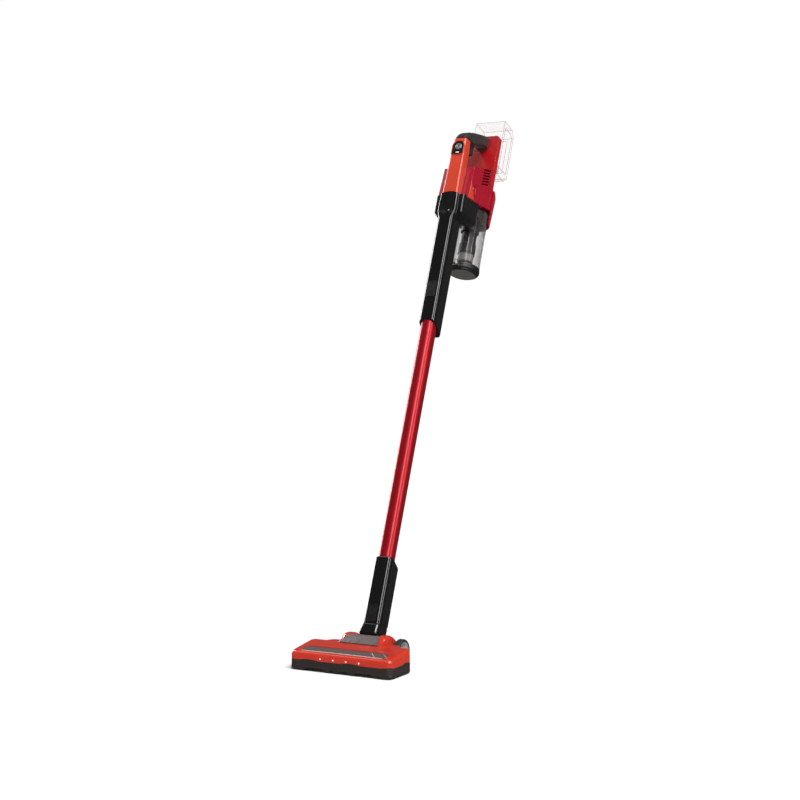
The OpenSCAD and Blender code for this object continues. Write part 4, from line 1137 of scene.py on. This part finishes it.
class VACUUM_OT_grip(bpy.types.Operator):
    """Rubber grip between the column and the battery mount, with its trigger"""
    bl_idname = "vacuum.grip"
    bl_label = "Grip and trigger"

    def execute(self, context):
        s, f = context.scene.vacuum_sizes, finishes()
        grip = shown(prism(GRIP, -15, 15, "x"), "hand_grip", HAND)
        ease(grip, s.grip_round, 7, 60)
        slot = shown(block((-6.3, 29.7, 180), (6.3, 45.3, 206.3)), "slot", HAND)
        cut(grip, slot, shown(block((-30, 99.95, 150), (30, 130, 280)), "end", HAND))
        fit(ease(grip, 0.4, 2, 50), "hand_unit", f["rubber"], ["grip"])
        lever = [(30, 202), (30, 188), (31.2, 181), (33.8, 176.4), (37.5, 175), (41.2, 176.4), (43.8, 181),
                 (45, 188), (45, 202)]
        trigger = shown(prism(lever, -6, 6, "x"), "trigger_lever", HAND)
        fit(ease(trigger, 1.6, 4, 50), "trigger", f["matt"], ["trigger"])
        seam = []
        for i in range(9):
            v = 40 + i * 5.2
            seam.append(spot(HAND, (0, v, 236.0 + (v - 40) * 0.405), (0, -0.4, 1)))
        fit(studs("grip_dimples", seam, f["rubber"], 16, 0.0022, 0.0014, 0.0008), "hand_unit",
            f["rubber"])
        return {"FINISHED"}


class VACUUM_OT_battery(bpy.types.Operator):
    """Battery mount with its rails and terminals, and the clear battery pack that slides on it"""
    bl_idname = "vacuum.battery"
    bl_label = "Battery and mount"

    def execute(self, context):
        f = finishes()
        mount = from_cad("battery_mount", "battery_plate", 0)
        fit(ease(mount, 1.0, 3, 38), "hand_unit", f["mount"], ["battery_mount"])
        copied("battery_terminals", "terminal_blades", "hand_unit", f["brass"], 0.15, 1)
        copied("terminal_block", "terminal_holder", "hand_unit", f["matt"])

        case = from_cad("battery_pack", "battery_case", 0)
        fit(ease(case, 1.6, 3, 38), "battery", f["ghost"], ["battery_pack"])
        side = [(115.9, 170.6), (157.0, 170.6), (170.7, 184.3), (170.7, 289.8), (159.0, 305.4),
                (115.9, 305.4)]
        hull = shown(loft([[(x, v, u) for v, u in side] for x in (-36.9, 36.9)]), "battery_edges", HAND)
        fit(outlined("battery_edges", hull, 0.00055, f["outline"]), "battery", f["outline"])
        label = [(22, 200), (22, 284), (-22, 284), (-22, 200)]
        plate = shown(prism(label, 170.7, 170.9, "v"), "battery_panel", HAND)
        fit(outlined("battery_panel", plate, 0.0004, f["outline"]), "battery", f["outline"])
        side_panel = shown(prism([(124, 190), (160, 190), (163, 196), (163, 282), (156, 292), (124, 292)],
                                 36.8, 37.0, "x"), "battery_side", HAND)
        fit(outlined("battery_side", side_panel, 0.0004, f["outline"]), "battery",
            f["outline"])
        copied("battery_button", "battery_release", "battery_button", f["outline"], 0.5, 3)
        return {"FINISHED"}


LID_PIN = (69, -80)


class VACUUM_OT_dust_bin(bpy.types.Operator):
    """Clear dust bin with its cyclone filter, paper filter, seal and hinged lid"""
    bl_idname = "vacuum.dust_bin"
    bl_label = "Dust bin"

    def execute(self, context):
        s, f = context.scene.vacuum_sizes, finishes()
        shell = shown(lathe([(34, -75), (35.6, -75), (36, -74.5), (36, -60), (35.7, -59), (35.7, 44),
                             (36, 45), (36, 63.6), (35.7, 64), (34.3, 64), (34, 63.7)], 128), "bin_wall", BIN)
        lug = shown(prism([(66.2, -79.9), (68, -82.6), (71, -82.8), (72, -80), (72.4, -75), (75, -75),
                           (75, -67), (66.2, -67)], -5, 5, "x"), "lug", HAND)
        join(shell, ease(lug, 0.5))
        cut(shell, shown(disc(1.5, -12, 12, "x", LID_PIN, 32), "pin", HAND),
            shown(disc(11, 60, 80, "v", (0, 30), 64), "inlet", HAND))
        fit(ease(shell, 0.3, 2, 45), "bin", f["smoke"], ["bin_shell"])

        head = shown(lathe([(13, 16), (21, 16), (21, 44), (34, 44), (34, 63.6), (36, 64.05), (36, 65.1),
                            (35.6, 65.2), (13.4, 65.2), (13, 64.8)], 96), "filter_cap", BIN)
        fins = [spot(BIN, (27.5 * cos(a), 27.5 * sin(a), 44), (0, 0, -1)) for a in around(24)]
        fit(head, "bin", f["matt"], ["filter_head"])
        fit(studs("cyclone_fins", fins, f["matt"], 4, 0.0022, 0.0012, 0.006), "bin",
            f["matt"])

        cone = shown(lathe([(15, -37), (19.5, -39), (19.5, -14), (18.2, -12.6), (17, -12), (17, 16),
                            (15, 16)], 96), "filter_screen", BIN)
        bosses = []
        for row in range(9):
            for a in around(24):
                a += (row % 2) * 0.13
                bosses.append(spot(BIN, (16.8 * cos(a), 16.8 * sin(a), -9 + 2.6 * row), (cos(a), sin(a), 0)))
        fit(cone, "bin", f["matt"], ["filter_cone"])
        fit(studs("screen_bosses", bosses, f["matt"], 6, 0.0009, 0.0006, 0.0005), "bin",
            f["matt"])
        ring = shown(lathe([(16, -57), (17.6, -57), (18, -56.4), (18, -39.6), (17.6, -39), (16, -39)], 96),
                     "filter_collar", BIN)
        fit(ring, "bin", f["grey"], ["filter_ring"])

        folds = [(a, 12.0 if (i // 2) % 2 == 0 else 9.6) for i, a in enumerate(around(4 * s.pleats))]
        rings = [[(r * cos(a), r * sin(a), u) for a, r in folds] for u in (-36.5, -36, 50, 59.5, 60)]
        paper = cut(shown(loft(rings), "paper_filter", BIN),
                    shown(disc(8, -34, 70, segments=64), "core", BIN))
        fit(paper, "bin", f["paper"], ["pleated_filter"], crease=20)
        seal = shown(lathe([(22, 65.2), (27, 65.2), (27, 66), (26.2, 66.4), (25.4, 65.9), (24.4, 66.4),
                            (23.4, 65.9), (22.6, 66.4), (22, 66)], 96), "lip_seal", BIN)
        fit(seal, "bin", f["seal"], ["bin_seal"])

        plate = shown(lathe([(0, -88), (28.6, -88), (29.3, -87.7), (29.5, -87.0), (0, -87.0)], 128),
                      "lid_plate", BIN)
        fit(plate, "bin_lid", f["lid"])
        lid = shown(lathe([(0, -87.2), (29.6, -87.2), (30.0, -87.2), (30.6, -86.7), (36.2, -82.2),
                           (37, -80.8), (37, -76), (36.6, -75.4), (35.5, -75.3), (34, -75.3), (34, -85.5),
                           (0, -85.5)], 128), "lid", BIN)
        hinge = shown(block((-9, 66, -86), (9, 74, -75.3)), "hinge", HAND)
        join(lid, ease(hinge, 1.0, 3))
        knuckle = shown(block((-5.3, 60, -85.2), (5.3, 72.3, -70)), "knuckle", HAND)
        cut(lid, knuckle, shown(disc(1.56, -20, 20, "x", LID_PIN, 32), "pin", HAND))
        fit(ease(lid, 0.4, 2, 40), "bin_lid", f["matt"], ["bin_lid"])
        lip = shown(lathe([(33.95, -74.9), (36.1, -74.9), (36.35, -74.3), (36.35, -71.2), (36.0, -70.6),
                           (34.0, -70.6)], 128), "bin_rim", BIN)
        cut(lip, shown(block((-5.4, 60, -80), (5.4, 76, -60)), "gap", HAND))
        fit(lip, "bin", f["matt"])
        copied("lid_pin", "lid_hinge_pin", "bin", f["steel"], 0.2)
        return {"FINISHED"}


class VACUUM_OT_suction(bpy.types.Operator):
    """Suction motor, its rubber mount and the fan inside the housing"""
    bl_idname = "vacuum.suction"
    bl_label = "Suction motor and fan"

    def execute(self, context):
        f = finishes()
        copied("motor_mount", "motor_cushion", "hand_unit", f["seal"])
        copied("suction_motor", "suction_motor_can", "hand_unit", f["can"], 0.8)
        copied("fan", "fan_wheel", "fan", f["pale"], 0.2)
        return {"FINISHED"}


# ---------------------------------------------------------------- stage

# The strips and the panel show in reflections only, so the ground stays an even white. Levels are the world's
# strength for each kind of ray.
WORLD_LEVEL = 0.34
RAY_LEVELS = (("Is Glossy Ray", 0.09), ("Is Camera Ray", 1.02))
SUN_POWER = 3.2
SUN_WAY = (-0.75, 0.40, -1.5)
STRIPS_FACE = (0.0, 0.25, 0.6)
STRIPS = (
    ("right strip", (1.6, -1.5, 2.0), (0.40, 2.6), 34),
    ("side strip", (2.4, -0.3, 1.2), (0.25, 2.4), 20),
    ("left strip", (-2.2, 1.1, 1.2), (0.60, 2.4), 46),
    ("overhead panel", (-1.25, -0.1, 2.3), (1.0, 0.50), 6),
)

# The camera that was fitted to the photograph.
CAMERA_LENS = 67.07
CAMERA_PLACE = (1.5074, -2.5334, 0.6143)
CAMERA_WAY = (-0.4824, 0.8756, -0.0259)


def facing(direction):
    """The turn that points a lamp or a camera in a direction."""
    return direction.to_track_quat("-Z", "Y").to_euler()


class VACUUM_OT_stage(bpy.types.Operator):
    """Pale floor, soft studio lights and the camera"""
    bl_idname = "vacuum.stage"
    bl_label = "Floor, lights and camera"

    def execute(self, context):
        scene = context.scene
        bm = bmesh.new()
        bmesh.ops.create_circle(bm, cap_ends=True, radius=60, segments=128)
        floor = shown(bm, "floor", Matrix.Identity(4))
        t = Tree("pale floor")
        t.wire(t.blend(t.noise(3, 3), (0.91, 0.91, 0.91), (0.93, 0.93, 0.93)), t.shader.inputs["Base Color"])
        t.wire(t.span(t.noise(20, 3), 0.6, 0.75), t.shader.inputs["Roughness"])
        t.set(t.shader, Specular_IOR_Level=0.0)
        floor.data.materials.append(t.material)
        floor.visible_glossy = False

        world = scene.world or bpy.data.worlds.new("studio")
        scene.world = world
        world.use_nodes = True
        tree = world.node_tree
        sky = tree.nodes["Background"]
        ray = tree.nodes.new("ShaderNodeLightPath")
        last = None
        for test, value in RAY_LEVELS:
            level = tree.nodes.new("ShaderNodeMix")
            level.inputs["A"].default_value = WORLD_LEVEL
            level.inputs["B"].default_value = value
            tree.links.new(ray.outputs[test], level.inputs["Factor"])
            if last:
                tree.links.new(last.outputs["Result"], level.inputs["A"])
            last = level
        tree.links.new(last.outputs["Result"], sky.inputs["Strength"])
        sky.inputs["Color"].default_value = (1, 1, 1, 1)
        scene.view_settings.view_transform = "Standard"

        sun = bpy.data.objects.new("soft sun", bpy.data.lights.new("soft sun", "SUN"))
        sun.data.energy = SUN_POWER
        sun.data.angle = radians(40)
        sun.rotation_euler = facing(Vector(SUN_WAY))
        scene.collection.objects.link(sun)
        for name, place, size, power in STRIPS:
            light = bpy.data.lights.new(name, "AREA")
            light.shape = "RECTANGLE"
            light.size, light.size_y = size
            light.energy = power
            lamp = bpy.data.objects.new(name, light)
            lamp.location = place
            lamp.rotation_euler = facing(Vector(STRIPS_FACE) - Vector(place))
            lamp.visible_diffuse = False
            scene.collection.objects.link(lamp)
        # The last of them, the overhead panel, shines straight down instead.
        lamp.rotation_euler = (0, 0, 0)

        camera = bpy.data.objects.new("camera", bpy.data.cameras.new("camera"))
        camera.data.sensor_width = 36
        camera.data.lens = CAMERA_LENS
        camera.location = CAMERA_PLACE
        camera.rotation_euler = facing(Vector(CAMERA_WAY))
        camera.data.clip_end = 60
        scene.collection.objects.link(camera)
        scene.camera = camera
        return {"FINISHED"}


PIECES = (VACUUM_OT_head_base, VACUUM_OT_nozzle_cover, VACUUM_OT_shoulders, VACUUM_OT_brush_roll,
          VACUUM_OT_wheels, VACUUM_OT_neck, VACUUM_OT_tube, VACUUM_OT_sleeve, VACUUM_OT_housing,
          VACUUM_OT_column, VACUUM_OT_grip, VACUUM_OT_battery, VACUUM_OT_dust_bin, VACUUM_OT_suction,
          VACUUM_OT_stage)


class VACUUM_PT_panel(bpy.types.Panel):
    """Sizes, colours and the pieces in their order"""
    bl_idname = "VACUUM_PT_panel"
    bl_label = "Upright vacuum cleaner"
    bl_space_type = "VIEW_3D"
    bl_region_type = "UI"
    bl_category = "Vacuum"

    def draw(self, context):
        for group in (context.scene.vacuum_sizes, context.scene.vacuum_colours):
            box = self.layout.box()
            for key in group.bl_rna.properties.keys():
                if key not in ("rna_type", "name"):
                    box.prop(group, key)
        for piece in PIECES:
            self.layout.operator(piece.bl_idname)


CLASSES = (VacuumSizes, VacuumColours) + PIECES + (VACUUM_PT_panel,)


def register():
    for item in CLASSES:
        bpy.utils.register_class(item)
    bpy.types.Scene.vacuum_sizes = PointerProperty(type=VacuumSizes)
    bpy.types.Scene.vacuum_colours = PointerProperty(type=VacuumColours)


def unregister():
    del bpy.types.Scene.vacuum_colours
    del bpy.types.Scene.vacuum_sizes
    for item in reversed(CLASSES):
        bpy.utils.unregister_class(item)


def main():
    register()
    for piece in PIECES:
        group, name = piece.bl_idname.split(".")
        getattr(getattr(bpy.ops, group), name)()


if __name__ == "__main__":
    main()
